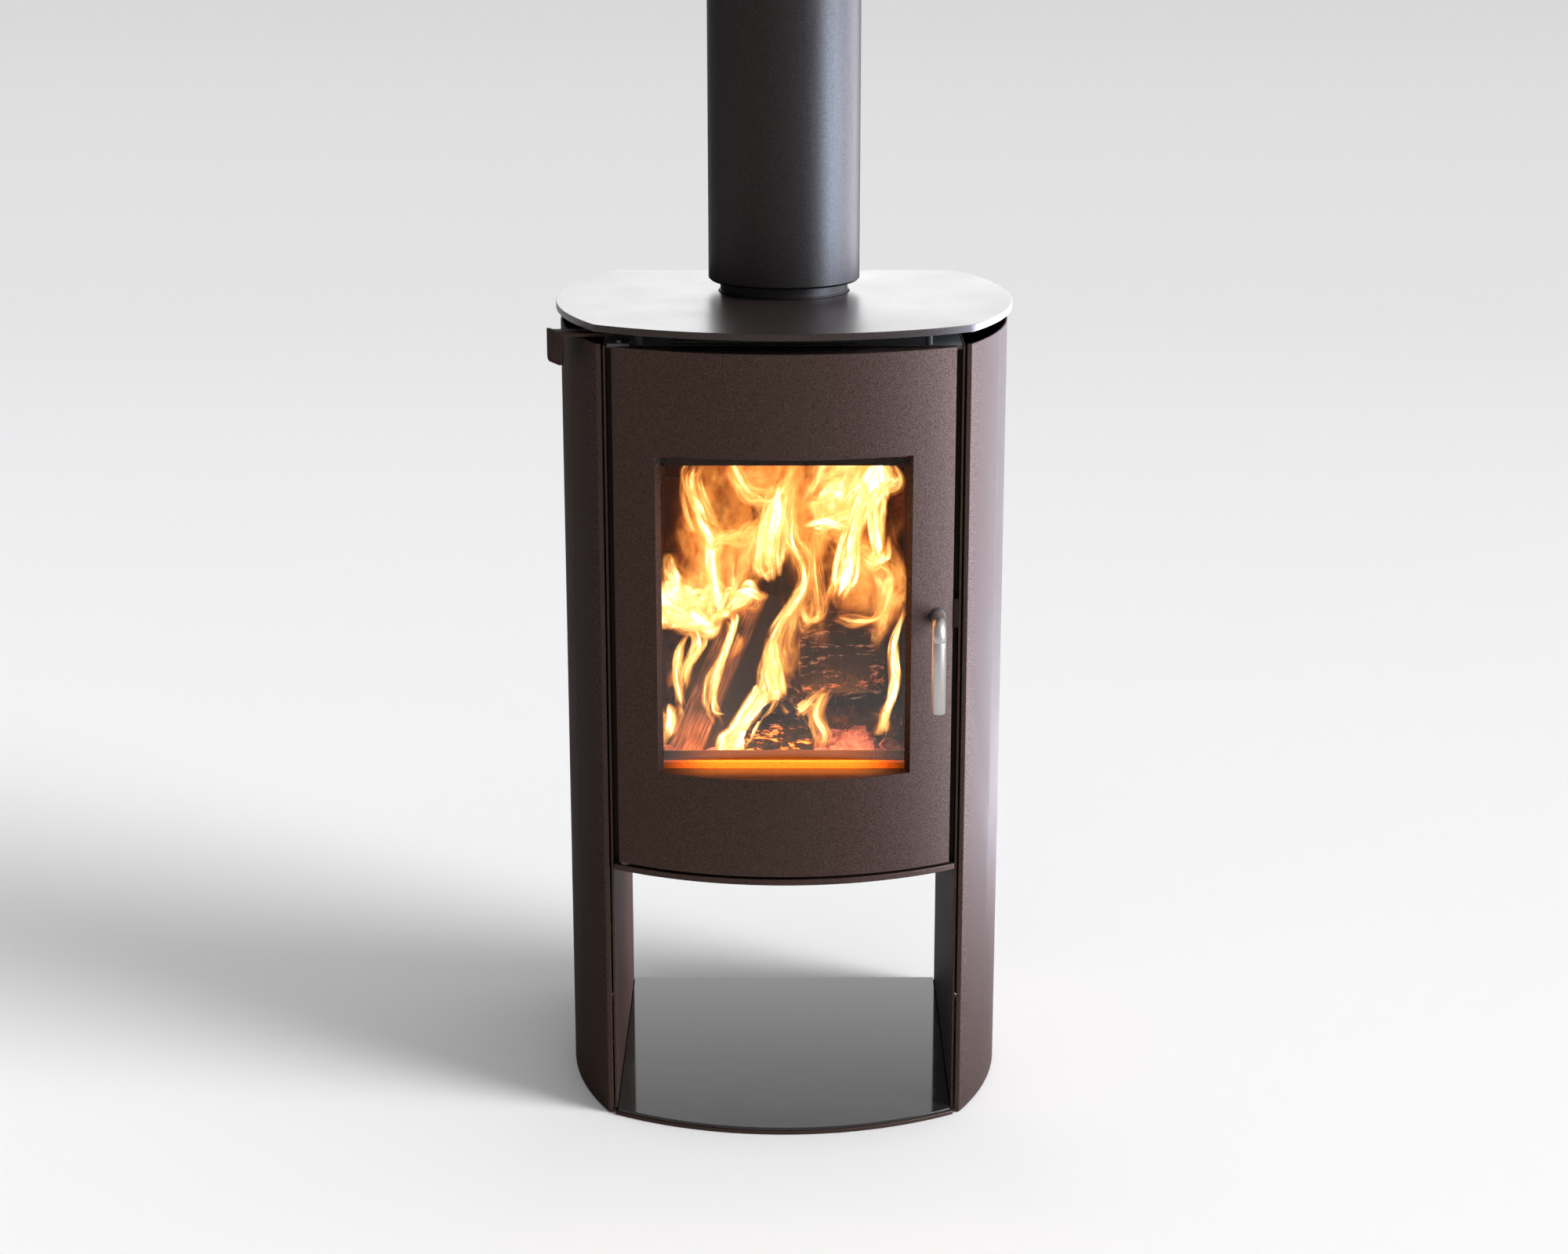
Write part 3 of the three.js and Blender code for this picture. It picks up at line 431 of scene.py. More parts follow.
def make_materials():
    MATERIALS.update({
        "body_paint": paint("body_paint", (0.029, 0.0145, 0.0090), (0.070, 0.047, 0.041), 0.54, rim=0.22),
        "top_paint": paint("top_paint", (0.020, 0.014, 0.012), (0.046, 0.034, 0.032), 0.36, 0.5, 1.0),
        # painted shade: a darker, duller copy of the body paint for parts that lie deep in gaps
        "gap_shade_paint": paint("gap_shade_paint", (0.010, 0.006, 0.004), (0.022, 0.013, 0.010), 0.5, 0.2),
        "flue_paint": pipe_paint(),
        "black_glass": dark_mirror(),
        "raw_steel": heatproof_steel(),
        "cast_iron": cast_iron(),
        "vermiculite": vermiculite(),
        "stainless": brushed_steel("stainless", (0.52, 0.50, 0.485), 0.36, (900, 900, 25)),
        "zinc": brushed_steel("zinc", (0.12, 0.115, 0.11), 0.45, (300, 300, 300)),
        "door_glass": clear_glass(),
        "rope": rope(),
        "glass_tape": heat_stained("glass_tape", (700, 700, 700), 4, (0.12, 0.045, 0.018),
                                   (0.21, 0.078, 0.033), 0.9, 0.1, 0.2 * MM),
        "fire_stained": heat_stained("fire_stained", (20, 60, 60), 6, (0.10, 0.038, 0.017),
                                     (0.17, 0.070, 0.033), 0.6, 0.5, 0.3 * MM),
        "bark": bark(),
        "split_wood": split_wood(),
        "char": char(),
        "embers": embers(),
        "flame": flame(),
    })


def bark():
    """Charred bark in long plates, glowing where it has burnt through."""
    s = Shader("bark")
    along = s.attribute("along")
    where = s.place()
    plates = s.cells(s.crooked(s.place((95, 95, 40)), 1.3, 1.2), 1, feature="DISTANCE_TO_EDGE")
    rough = s.noise(where, 90, detail=6, roughness=0.7)
    s.set("Base Color", s.shades(rough, 0.35, (0.010, 0.008, 0.007), 0.75, (0.060, 0.038, 0.026)))
    s.set("Roughness", 0.9)
    s.set("Emission Color", (1.0, 0.22, 0.04))
    crack = s.span(plates, 0.0, 0.07, 1, 0)
    low_end = s.span(along, 0.0, 0.55, 1, 0)
    patch = s.span(s.noise(where, 16, detail=3), 0.48, 0.62, 0, 1)
    glow = s.times(s.times(crack, patch), s.plus(low_end, 0.15))
    s.set("Emission Strength", s.times(glow, 0.25))
    return s.bump(s.plus(plates, rough), 0.7, 2 * MM)


def split_wood():
    """A split face: long fibres, scorched brown, lit from inside where it burns."""
    s = Shader("split_wood")
    fibre = s.attribute("fibre")
    where = s.place()
    grain = s.node("ShaderNodeCombineXYZ", {
        "X": s.times(fibre, 60), "Y": s.times(s.attribute("along"), 2.5)})
    lines = s.noise(grain.outputs[0], 2.2, detail=8, roughness=0.75)
    scorch = s.noise(where, 19, detail=5)
    wood = s.ramp(lines, [
        (0.40, (0.045, 0.018, 0.010)), (0.5, (0.20, 0.085, 0.045)), (0.58, (0.46, 0.26, 0.17))])
    burnt = s.math("MAXIMUM", s.span(scorch, 0.50, 0.68, 0.04, 0.85), s.span(fibre, 0.69, 0.72, 0.96, 0))
    s.set("Base Color", s.mix(burnt, wood, (0.016, 0.010, 0.009)))
    s.set("Roughness", 0.85)
    s.set("Emission Color", (1.0, 0.30, 0.07))
    s.set("Emission Strength", s.span(lines, 0.66, 0.76, 0.0, 0.5))
    return s.bump(lines, 0.8, 2 * MM)


def char():
    """Charcoal: matt dark blocks with thin lines of ash and a few glowing cracks."""
    s = Shader("char")
    where = s.place()
    cracks = s.cells(s.crooked(where, 60, 0.014), 75, feature="DISTANCE_TO_EDGE")
    fine = s.noise(where, 160, detail=5)
    ash = s.noise(s.place((35, 60, 130)), 1, detail=6, roughness=0.75)
    black = s.shades(fine, 0.35, (0.003, 0.003, 0.004), 0.7, (0.011, 0.010, 0.012))
    s.set("Base Color", s.mix(s.span(ash, 0.56, 0.60, 0, 0.9), black, (0.42, 0.25, 0.20)))
    s.set("Roughness", 0.75)
    s.set("Emission Color", (1.0, 0.20, 0.05))
    hot = s.span(s.noise(where, 17), 0.56, 0.66, 0, 1)
    rim = s.times(s.span(cracks, 0.0, 0.03, 1, 0), hot)
    s.set("Emission Strength", s.times(rim, 0.7))
    return s.bump(s.plus(s.span(cracks, 0, 0.12, 0, 0.5), fine), 0.7, 1.5 * MM)


def embers():
    """Glowing lumps crossed by fine paler cracks, dulled by ash in places."""
    s = Shader("embers")
    where = s.place()
    ash = s.noise(where, 120, detail=5, roughness=0.7)
    heat = s.noise(where, 30, detail=3, distortion=0.4)
    cracks = s.cells(s.crooked(where, 110, 0.006), 150, feature="DISTANCE_TO_EDGE")
    s.set("Base Color", s.shades(ash, 0.35, (0.02, 0.012, 0.010), 0.7, (0.16, 0.10, 0.09)))
    s.set("Roughness", 0.95)
    glow = s.plus(heat, s.span(cracks, 0.0, 0.10, 0.10, 0.0))
    s.set("Emission Color", s.shades(glow, 0.42, (0.60, 0.03, 0.02), 0.66, (1.0, 0.25, 0.17)))
    s.set("Emission Strength", s.span(glow, 0.42, 0.68, 0.02, 1.1))
    return s.bump(s.plus(s.span(cracks, 0, 0.2, 0, 1), ash), 0.8, 1.5 * MM)


def flame():
    """Burning gas: strands of light that hide what is behind them only where they are brightest."""
    s = Shader("flame")
    across, along = s.attribute("across"), s.attribute("along")
    seed, might = s.attribute("seed"), s.attribute("might")
    where = s.node("ShaderNodeCombineXYZ", {
        "X": s.plus(s.times(across, 1.1), seed),
        "Y": s.times(along, 2.3),
        "Z": s.times(seed, 3.0)}).outputs[0]
    broad = s.noise(where, 1.1, detail=2, distortion=0.8)
    fine = s.noise(where, 2.6, detail=2, distortion=1.2)
    ridge = s.math("SUBTRACT", 1.0, s.math("ABSOLUTE", s.math("SUBTRACT", s.times(fine, 2), 1.0)))
    strand = s.math("POWER", ridge, 10)
    inside = s.math("SUBTRACT", 1.0, s.times(across, across))
    ragged = s.plus(inside, s.times(s.math("SUBTRACT", broad, 0.5), 2.2))
    body = s.span(ragged, 0.15, 1.25, 0, 1)
    skirt = s.times(inside, body)
    core = s.math("POWER", body, 3.5)
    veil = s.times(skirt, s.plus(s.times(strand, 0.34), 0.15))
    shine = s.plus(s.times(core, 0.9), veil)
    rest = s.attribute("rest")
    ends = s.times(s.span(along, 0, 0.25, 0, 1), s.span(rest, 0, 0.35, 0, 1))
    power = s.times(s.times(ends, might), shine)
    colour = s.ramp(s.times(power, 0.3), [
        (0.0, (1.0, 0.16, 0.015)), (0.06, (1.0, 0.34, 0.06)),
        (0.4, (1.0, 0.50, 0.14)), (1.0, (1.0, 0.66, 0.28))])
    cover = s.math("MINIMUM", s.times(power, 0.45), 0.92)
    light = s.node("ShaderNodeEmission", {
        "Color": colour, "Strength": s.math("MAXIMUM", 2.2, s.times(power, 1.1))})
    through = s.node("ShaderNodeBsdfTransparent", {"Color": (1, 1, 1, 1)})
    both = s.node("ShaderNodeMixShader", {0: cover, 1: through.outputs[0], 2: light.outputs[0]})
    s.put(s.tree.nodes["Material Output"].inputs["Surface"], both.outputs[0])
    s.tree.nodes.remove(s.surface)
    s.material.cycles.emission_sampling = "NONE"
    return s.material


# ------------------------------------------------------------------ mesh helpers
def arc(start, end, bulge, steps=ARC_STEPS):
    """Points from start up to, not including, end, swelling to the right of the way they run."""
    start, end = Vector(start), Vector(end)
    chord = (end - start).length
    along = (end - start) / chord
    right = Vector((along.y, -along.x))
    radius = (chord * chord / 4 + bulge * bulge) / (2 * bulge)
    centre = (start + end) / 2 - right * (radius - bulge)
    half = math.asin(chord / 2 / radius)
    points = []
    for i in range(steps):
        angle = -half + 2 * half * i / steps
        points.append(centre + right * radius * math.cos(angle) + along * radius * math.sin(angle))
    return points


def arc_drop(half_width, radius=FRONT_R):
    return radius - math.sqrt(radius * radius - half_width * half_width)


def mirrored(points):
    return [Vector((-p.x, p.y)) for p in reversed(points)]


def stitch(bm, ring, following):
    """A closed band of faces between two rings of vertices."""
    count = len(ring)
    for i in range(count):
        j = (i + 1) % count
        bm.faces.new((ring[i], ring[j], following[j], following[i]))


def slab_mesh(outline, z0, z1):
    """A flat plate from its outline seen from above."""
    bm = bmesh.new()
    low = [bm.verts.new((p[0], p[1], z0)) for p in outline]
    high = [bm.verts.new((p[0], p[1], z1)) for p in outline]
    bm.faces.new(reversed(low))
    bm.faces.new(high)
    stitch(bm, low, high)
    return bm


def circle(x, y, radius, steps):
    turns = [2 * math.pi * i / steps for i in range(steps)]
    return [(x + radius * math.cos(turn), y + radius * math.sin(turn)) for turn in turns]


def turned_mesh(profile, steps):
    """A body of revolution about a vertical line, from a closed list of (radius, height)."""
    bm = bmesh.new()
    rings = []
    for i in range(steps):
        angle = 2 * math.pi * i / steps
        rings.append([
            bm.verts.new((r * math.cos(angle), r * math.sin(angle), z)) for r, z in profile])
    count = len(profile)
    for i in range(steps):
        ring, following = rings[i], rings[(i + 1) % steps]
        for k in range(count):
            m = (k + 1) % count
            bm.faces.new((ring[k], following[k], following[m], ring[m]))
    return bm


def make_piece(name, bm, material, body=BODY, replaces=(), bevel=0.0, segments=3, sharp=30):
    """A finished object: smooth with sharp or bevelled edges, riding on its body.
    If it replaces nodes, they are hidden."""
    bmesh.ops.recalc_face_normals(bm, faces=bm.faces)
    mesh = bpy.data.meshes.new(name)
    bm.to_mesh(mesh)
    bm.free()
    mesh.shade_smooth()
    piece = bpy.data.objects.new(name, mesh)
    bpy.context.scene.collection.objects.link(piece)
    mesh.materials.append(MATERIALS[material])
    if bevel:
        rounding = piece.modifiers.new("rounding", "BEVEL")
        rounding.width = bevel
        rounding.segments = segments
        rounding.limit_method = "ANGLE"
        rounding.angle_limit = math.radians(sharp)
        rounding.harden_normals = True
    else:
        mesh.set_sharp_from_angle(angle=math.radians(sharp))
    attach(piece, body)
    if replaces:
        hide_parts(*replaces)
    return piece


def boolean(bm, other, operation):
    """bm joined with or cut by other, as a new bmesh."""
    objects = []
    for i, part in enumerate((bm, other)):
        bmesh.ops.recalc_face_normals(part, faces=part.faces)
        mesh = bpy.data.meshes.new(f"boolean_{i}")
        part.to_mesh(mesh)
        part.free()
        thing = bpy.data.objects.new(f"boolean_{i}", mesh)
        bpy.context.scene.collection.objects.link(thing)
        objects.append(thing)
    change = objects[0].modifiers.new("boolean", "BOOLEAN")
    change.operation = operation
    change.object = objects[1]
    change.solver = "EXACT"
    depsgraph = bpy.context.evaluated_depsgraph_get()
    result = bmesh.new()
    result.from_mesh(objects[0].evaluated_get(depsgraph).to_mesh())
    for thing in objects:
        mesh = thing.data
        bpy.data.objects.remove(thing)
        bpy.data.meshes.remove(mesh)
    return result


def cylinder_along_y(x, z, radius, y0, y1, steps=48):
    bm = slab_mesh(circle(x, 0, radius, steps), -y1, -y0)
    bmesh.ops.transform(bm, matrix=Matrix.Rotation(math.pi / 2, 4, "X"), verts=bm.verts)
    bmesh.ops.translate(bm, vec=(0, 0, z), verts=bm.verts)
    return bm


# ------------------------------------------------------------------ body of the stove
def rolled_plate(node):
    """A plate as large as a CAD node, with straight sides and back and the rolled front."""
    box = Box(node)
    half_x, corner_y = box.x1, box.y0 + arc_drop(box.x1)
    outline = [*arc((-half_x, corner_y), (half_x, corner_y), arc_drop(half_x)),
               (half_x, corner_y), (half_x, box.y1), (-half_x, box.y1)]
    return slab_mesh(outline, box.z0, box.z1)


def make_base():
    make_piece("base_sheet", rolled_plate("base_plate"), "body_paint",
               replaces=["base_plate"], bevel=0.7 * MM)
    make_piece("base_mirror", rolled_plate("base_glass"), "black_glass",
               replaces=["base_glass"], bevel=0.6 * MM)
    floor, pin = Box("firebox_floor_plate"), Box("lower_hinge_pin").centre
    hole = slab_mesh(circle(pin.x, pin.y, PIN_HOLE_R, 32), floor.z0 - MM, floor.z1 + MM)
    shelf = boolean(rolled_plate("firebox_floor_plate"), hole, "DIFFERENCE")
    make_piece("firebox_shelf", shelf, "body_paint",
               replaces=["firebox_floor_plate"], bevel=0.8 * MM)
    for side in ("left", "right"):
        leg = Box(f"{side}_leg_plate")
        outline = [(leg.x0, leg.y0), (leg.x1, leg.y0), (leg.x1, leg.y1), (leg.x0, leg.y1)]
        make_piece(f"{side}_leg", slab_mesh(outline, leg.z0, leg.z1), "body_paint",
                   replaces=[f"{side}_leg_plate"], bevel=0.6 * MM)


def panel_outline():
    """Cross-section of the right side panel: a rolled sheet with a folded lip at each end."""
    box = Box("right_side_panel")
    sheet, corner_x = PANEL_SHEET, PANEL_CORNER_X
    bulge = box.x1 - corner_x
    half = (box.y1 - box.y0) / 2
    radius = (half * half + bulge * bulge) / (2 * bulge)
    centre_x, centre_y = box.x1 - radius, (box.y0 + box.y1) / 2
    front, back = box.y0 + sheet, box.y1 - sheet
    inner = []
    for i in range(ARC_STEPS + 1):
        y = back + (front - back) * i / ARC_STEPS
        inner.append((centre_x + math.sqrt((radius - sheet) ** 2 - (y - centre_y) ** 2), y))
    return [Vector(p) for p in [
        (box.x0, box.y0), *arc((corner_x, box.y0), (corner_x, box.y1), bulge), (corner_x, box.y1),
        (box.x0, box.y1), (box.x0, back), *inner, (box.x0, front)]]


def make_panels():
    box = Box("right_side_panel")
    outline = panel_outline()
    for side, points in (("right", outline), ("left", mirrored(outline))):
        make_piece(f"{side}_panel", slab_mesh(points, box.z0, box.z1), "body_paint",
                   replaces=[f"{side}_side_panel"], bevel=1.0 * MM, segments=4)


def make_top():
    box, collar = Box("top_plate"), Box("flue_collar")
    corner_x, corner_y = TOP_CORNER
    bulge = box.x1 - corner_x
    outline = [
        *arc((-corner_x, corner_y), (corner_x, corner_y), arc_drop(corner_x)),
        *arc((corner_x, corner_y), (corner_x, box.y1), bulge),
        Vector((corner_x, box.y1)),
        *arc((-corner_x, box.y1), (-corner_x, corner_y), bulge)]
    plate = slab_mesh(outline, box.z0, box.z1)
    hole_r = collar.x1 + 0.5 * MM
    hole = slab_mesh(circle(0, 0, hole_r, 128), box.z0 - MM, box.z1 + MM)
    make_piece("top_sheet", boolean(plate, hole, "DIFFERENCE"), "top_paint",
               replaces=["top_plate"], bevel=0.9 * MM)


# ------------------------------------------------------------------ flue
def make_flue():
    collar, pipe, liner = Box("flue_collar"), Box("flue_casing"), Box("flue_liner")
    plate_top = Box("top_plate").z1
    inner_r, outer_r, rim_r = 71 * MM, 75 * MM, collar.x1
    rim = [(outer_r + (rim_r - outer_r) * math.sin(t), plate_top + 1.1 * MM - 0.9 * MM * math.cos(t))
           for t in [math.pi * k / 8 for k in range(9)]]
    profile = [(inner_r, collar.z0), (outer_r, collar.z0), *rim, (outer_r, collar.z1), (inner_r, collar.z1)]
    make_piece("flue_ring", turned_mesh(profile, 128), "flue_paint",
               replaces=["flue_collar"], sharp=50)
    wall, chamfer = 2.6 * MM, 2.5 * MM
    profile = [(pipe.x1 - wall, pipe.z0), (pipe.x1 - chamfer - 0.05 * MM, pipe.z0),
               (pipe.x1, pipe.z0 + chamfer), (pipe.x1, pipe.z1), (pipe.x1 - wall, pipe.z1)]
    make_piece("flue_pipe", turned_mesh(profile, 160), "flue_paint",
               replaces=["flue_casing"], bevel=0.5 * MM)
    profile = [(liner.x1 - 1.2 * MM, liner.z0), (liner.x1, liner.z0), (liner.x1, liner.z1),
               (liner.x1 - 1.2 * MM, liner.z1)]
    make_piece("flue_inner_pipe", turned_mesh(profile, 128), "stainless",
               replaces=["flue_liner"], bevel=0.2 * MM)


# ------------------------------------------------------------------ door
def lens(half_x, back_y, offset, z0, z1):
    """The space between the rolled face, moved back by offset, and a flat plane behind it."""
    front_y = Box("door_skin").y0 + offset
    drop = arc_drop(half_x, FRONT_R - offset)
    corner_y = front_y + drop
    outline = [*arc((-half_x, corner_y), (half_x, corner_y), drop), (half_x, corner_y),
               (half_x, back_y), (-half_x, back_y)]
    return slab_mesh(outline, z0, z1)


def window_wedge(grow):
    """The window's slanting hole, grown by a margin on every side."""
    front_y = Box("door_skin").y0
    arc_y = front_y + arc_drop(WINDOW_HALF_X)
    slant = (WINDOW_HALF_X - WINDOW_INNER_X) / (REVEAL_BACK_Y - arc_y)
    near, far = front_y - 20 * MM, REVEAL_BACK_Y + 4 * MM
    wide, narrow = (WINDOW_HALF_X + grow - slant * (y - arc_y) for y in (near, far))
    outline = [(-wide, near), (wide, near), (narrow, far), (-narrow, far)]
    return slab_mesh(outline, WINDOW_Z[0] - grow, WINDOW_Z[1] + grow)


def make_door():
    skin, plate, bush = Box("door_skin"), Box("door_back_plate"), Box("handle_bush")
    seat = plate.y0
    whole = lens(skin.x1, seat, 0, skin.z0, skin.z1)
    hollow = lens(skin.x1 - SHEET, seat + MM, SHEET, skin.z0 - MM, skin.z1 + MM)
    behind_face = lens(WINDOW_HALF_X + 9 * MM, REVEAL_BACK_Y, MM, skin.z0, skin.z1)
    surround = boolean(window_wedge(3 * MM), behind_face, "INTERSECT")
    shell = boolean(boolean(whole, hollow, "DIFFERENCE"), surround, "UNION")
    shell = boolean(shell, window_wedge(0), "DIFFERENCE")
    bore = cylinder_along_y(bush.centre.x, bush.centre.z, BUSH_HOLE_R, skin.y0, plate.y1)
    shell = boolean(shell, bore, "DIFFERENCE")
    bmesh.ops.remove_doubles(shell, verts=shell.verts, dist=MERGE)
    make_piece("door_shell", shell, "body_paint", body="door",
               replaces=["door_skin"], bevel=0.7 * MM)


# ------------------------------------------------------------------ handle
def make_handle():
    """A bent rod with a welded joint below its bend and a rounded lower end."""
    box = Box("door_handle")
    radius = 8 * MM
    x, top_z, rod_y = box.centre.x, box.z1 - radius, box.y0 + radius
    bend = 16 * MM
    path = [(box.y1, top_z, 0.0)]
    for i in range(17):
        angle = math.pi / 2 * i / 16
        path.append((rod_y + bend - bend * math.sin(angle), top_z - bend + bend * math.cos(angle), angle))
    weld_z = top_z - bend - 2 * MM
    radii = [radius] * len(path)
    for drop, size in ((0, 1), (0.5, 0.97), (0.8, 0.94), (1.1, 0.97), (1.6, 1.0)):
        path.append((rod_y, weld_z - drop * MM, math.pi / 2))
        radii.append(radius * size)
    for rise, size in ((1.5, 1.0), (0.6, 0.96), (0.15, 0.88), (0, 0.78)):
        path.append((rod_y, box.z0 + rise * MM, math.pi / 2))
        radii.append(radius * size)
    bm = bmesh.new()
    rings, steps = [], 48
    for (y, z, angle), r in zip(path, radii):
        side = Vector((1, 0, 0))
        up = Vector((0, -math.sin(angle), math.cos(angle)))
        rings.append([
            bm.verts.new(Vector((x, y, z)) + r * (side * math.cos(t) + up * math.sin(t)))
            for t in [2 * math.pi * k / steps for k in range(steps)]])
    for ring, following in zip(rings, rings[1:]):
        stitch(bm, ring, following)
    bm.faces.new(rings[0])
    bm.faces.new(reversed(rings[-1]))
    make_piece("handle_rod", bm, "stainless", body="handle",
               replaces=["door_handle"], sharp=60)

    bush = Box("handle_bush")
    inner, outer, deep, chamfer = 5.2 * MM, (bush.x1 - bush.x0) / 2, bush.y1 - bush.y0, 0.8 * MM
    ring = turned_mesh([
        (inner, 0), (outer - chamfer, 0), (outer, chamfer), (outer, deep), (inner, deep)], 48)
    move = Matrix.Translation((bush.centre.x, bush.y0, bush.centre.z))
    turn = Matrix.Rotation(-math.pi / 2, 4, "X")
    bmesh.ops.transform(ring, matrix=move @ turn, verts=ring.verts)
    make_piece("handle_sleeve", ring, "cast_iron", body="door",
               replaces=["handle_bush"], sharp=40)


# ------------------------------------------------------------------ firebox
def block(bm, low, high):
    """One box added to a bmesh."""
    size, centre = Vector(high) - Vector(low), (Vector(low) + Vector(high)) / 2
    made = bmesh.ops.create_cube(bm, size=1)
    matrix = Matrix.Translation(centre) @ Matrix.Diagonal((*size, 1))
    bmesh.ops.transform(bm, matrix=matrix, verts=made["verts"])


def brick_wall(side, axis, cut_shares):
    """Courses of firebricks in a lining board's space, running along axis: 0 for X, 1 for Y."""
    box, joint = Box(f"{side}_lining_brick"), BRICK_JOINT
    lows, highs = (box.x0, box.y0), (box.x1, box.y1)
    tall = (box.z1 - box.z0) / BRICK_COURSES
    bm = bmesh.new()
    for row in range(BRICK_COURSES):
        start, end = lows[axis], highs[axis]
        cuts = [start, start + cut_shares[row % 2] * (end - start), end]
        for a, b in zip(cuts, cuts[1:]):
            low, high = [*lows, box.z0 + row * tall], [*highs, box.z0 + (row + 1) * tall - joint]
            low[axis], high[axis] = a + joint / 2, b - joint / 2
            block(bm, low, high)
    make_piece(f"{side}_firebricks", bm, "vermiculite",
               replaces=[f"{side}_lining_brick"], bevel=2.2 * MM)


def make_linings():
    for side in ("left", "right"):
        brick_wall(side, 1, (0.64, 0.36))
    brick_wall("back", 0, (0.33, 0.5))


def make_lever():
    """The air lever: a flat bar with a tab bent down at its outer end."""
    bm = bmesh.new()
    bm.from_mesh(frame["nodes"]["air_lever"].data)
    bmesh.ops.remove_doubles(bm, verts=bm.verts, dist=MERGE)
    bmesh.ops.dissolve_limit(bm, angle_limit=math.radians(1), verts=bm.verts, edges=bm.edges)
    make_piece("lever_bar", bm, "body_paint", body="air_control",
               replaces=["air_lever"], bevel=0.7 * MM, sharp=35)


# ------------------------------------------------------------------ fire
def log_mesh(start, end, outline, roughness, seed, rings=44):
    """A log along a line, its section given as (angle, radius) corners, with an uneven surface.
    Holds along, 0 at the start and 1 at the end, and fibre, the way round, for its material."""
    start, end = Vector(start), Vector(end)
    axis = (end - start).normalized()
    other = Vector((0, 0, 1)) if abs(axis.y) > 0.8 else Vector((0, 1, 0))
    side = axis.cross(other).normalized()
    up = side.cross(axis)
    bm = bmesh.new()
    for name in ("along", "fibre"):
        bm.verts.layers.float.new(name)
    along_layer, fibre_layer = (bm.verts.layers.float[name] for name in ("along", "fibre"))
    steps = 72
    grid = []
    for i in range(rings + 1):
        v = i / rings
        centre = start.lerp(end, v)
        ring = []
        for k in range(steps):
            angle = 2 * math.pi * k / steps
            radius = section_radius(outline, angle)
            spot = Vector((math.cos(angle) * 2.2 + seed, math.sin(angle) * 2.2, v * 3))
            ridge = Vector((math.cos(angle) * 9 + seed, math.sin(angle) * 9, v * 1.6))
            radius *= 1 + roughness * (noise.noise(spot) + 0.55 * noise.noise(ridge))
            vert = bm.verts.new(centre + radius * (side * math.cos(angle) + up * math.sin(angle)))
            vert[along_layer] = v
            vert[fibre_layer] = k / steps
            ring.append(vert)
        grid.append(ring)
    for ring, following in zip(grid, grid[1:]):
        stitch(bm, ring, following)
    for ring, centre, v in ((grid[0], start, 0.0), (grid[-1], end, 1.0)):
        previous = ring
        for share in (0.8, 0.55, 0.3):
            smaller = []
            for k, vert in enumerate(ring):
                spot = centre.lerp(vert.co, share)
                dent = 0.0016 * noise.noise(spot * 160 + Vector((seed, 0, 0)))
                made = bm.verts.new(spot + axis * dent)
                made[along_layer] = v
                made[fibre_layer] = k / steps
                smaller.append(made)
            stitch(bm, previous, smaller)
            previous = smaller
        hub = bm.verts.new(centre)
        for k in range(steps):
            bm.faces.new((previous[k], previous[(k + 1) % steps], hub))
    return bm


def section_radius(outline, angle):
    """Distance from the middle to a polygon whose corners are (angle in degrees, radius)."""
    corners = [Vector((r * math.cos(math.radians(a)), r * math.sin(math.radians(a)))) for a, r in outline]
    ray = Vector((math.cos(angle), math.sin(angle)))
    best = max(r for _, r in outline)
    for a, b in zip(corners, corners[1:] + corners[:1]):
        edge = b - a
        cross = ray.x * edge.y - ray.y * edge.x
        if abs(cross) < 1e-9:
            continue
        t = (a.x * edge.y - a.y * edge.x) / cross
        u = (a.x * ray.y - a.y * ray.x) / cross
        if t > 0 and -1e-6 <= u <= 1 + 1e-6:
            best = min(best, t)
    return best


def make_logs():
    """Two logs that lean together at the left, a square charred one at the right rear, one end-on in
    front and one lying under them."""
    split = [(5, 0.037), (90, 0.026), (185, 0.034), (255, 0.026)]
    round_log = [(a, 0.023) for a in range(0, 360, 15)]
    block_half = [(35, 0.0624), (48, 0.0616), (90, 0.047), (132, 0.0616), (145, 0.0624)]
    block = block_half + [(180, 0.051)] + [(a + 180, r) for a, r in block_half] + [(360, 0.051)]
    lump = [(0, 0.040), (40, 0.038), (80, 0.047), (112, 0.043), (142, 0.038), (180, 0.042), (212, 0.048),
            (270, 0.036), (328, 0.046)]
    under = [(a, 0.032) for a in range(0, 360, 15)]
    for name, start, end, outline, roughness, seed, material, sharp in (
            ("log_split", (-0.120, -0.152, 0.392), (-0.028, -0.088, 0.598), split, 0.09, 1.7,
             "split_wood", 50),
            ("log_bark", (0.018, -0.040, 0.430), (-0.016, -0.060, 0.705), round_log, 0.16, 5.1, "bark", 70),
            ("log_charred", (0.069, -0.092, 0.504), (0.062, 0.070, 0.504), block, 0.035, 8.3, "char", 60),
            ("log_front", (-0.006, -0.180, 0.446), (0.004, -0.060, 0.448), lump, 0.05, 3.9, "char", 60),
            ("log_under", (0.130, -0.070, 0.430), (-0.110, 0.030, 0.436), under, 0.14, 6.2, "bark", 70)):
        make_piece(name, log_mesh(start, end, outline, roughness, seed), material, sharp=sharp)


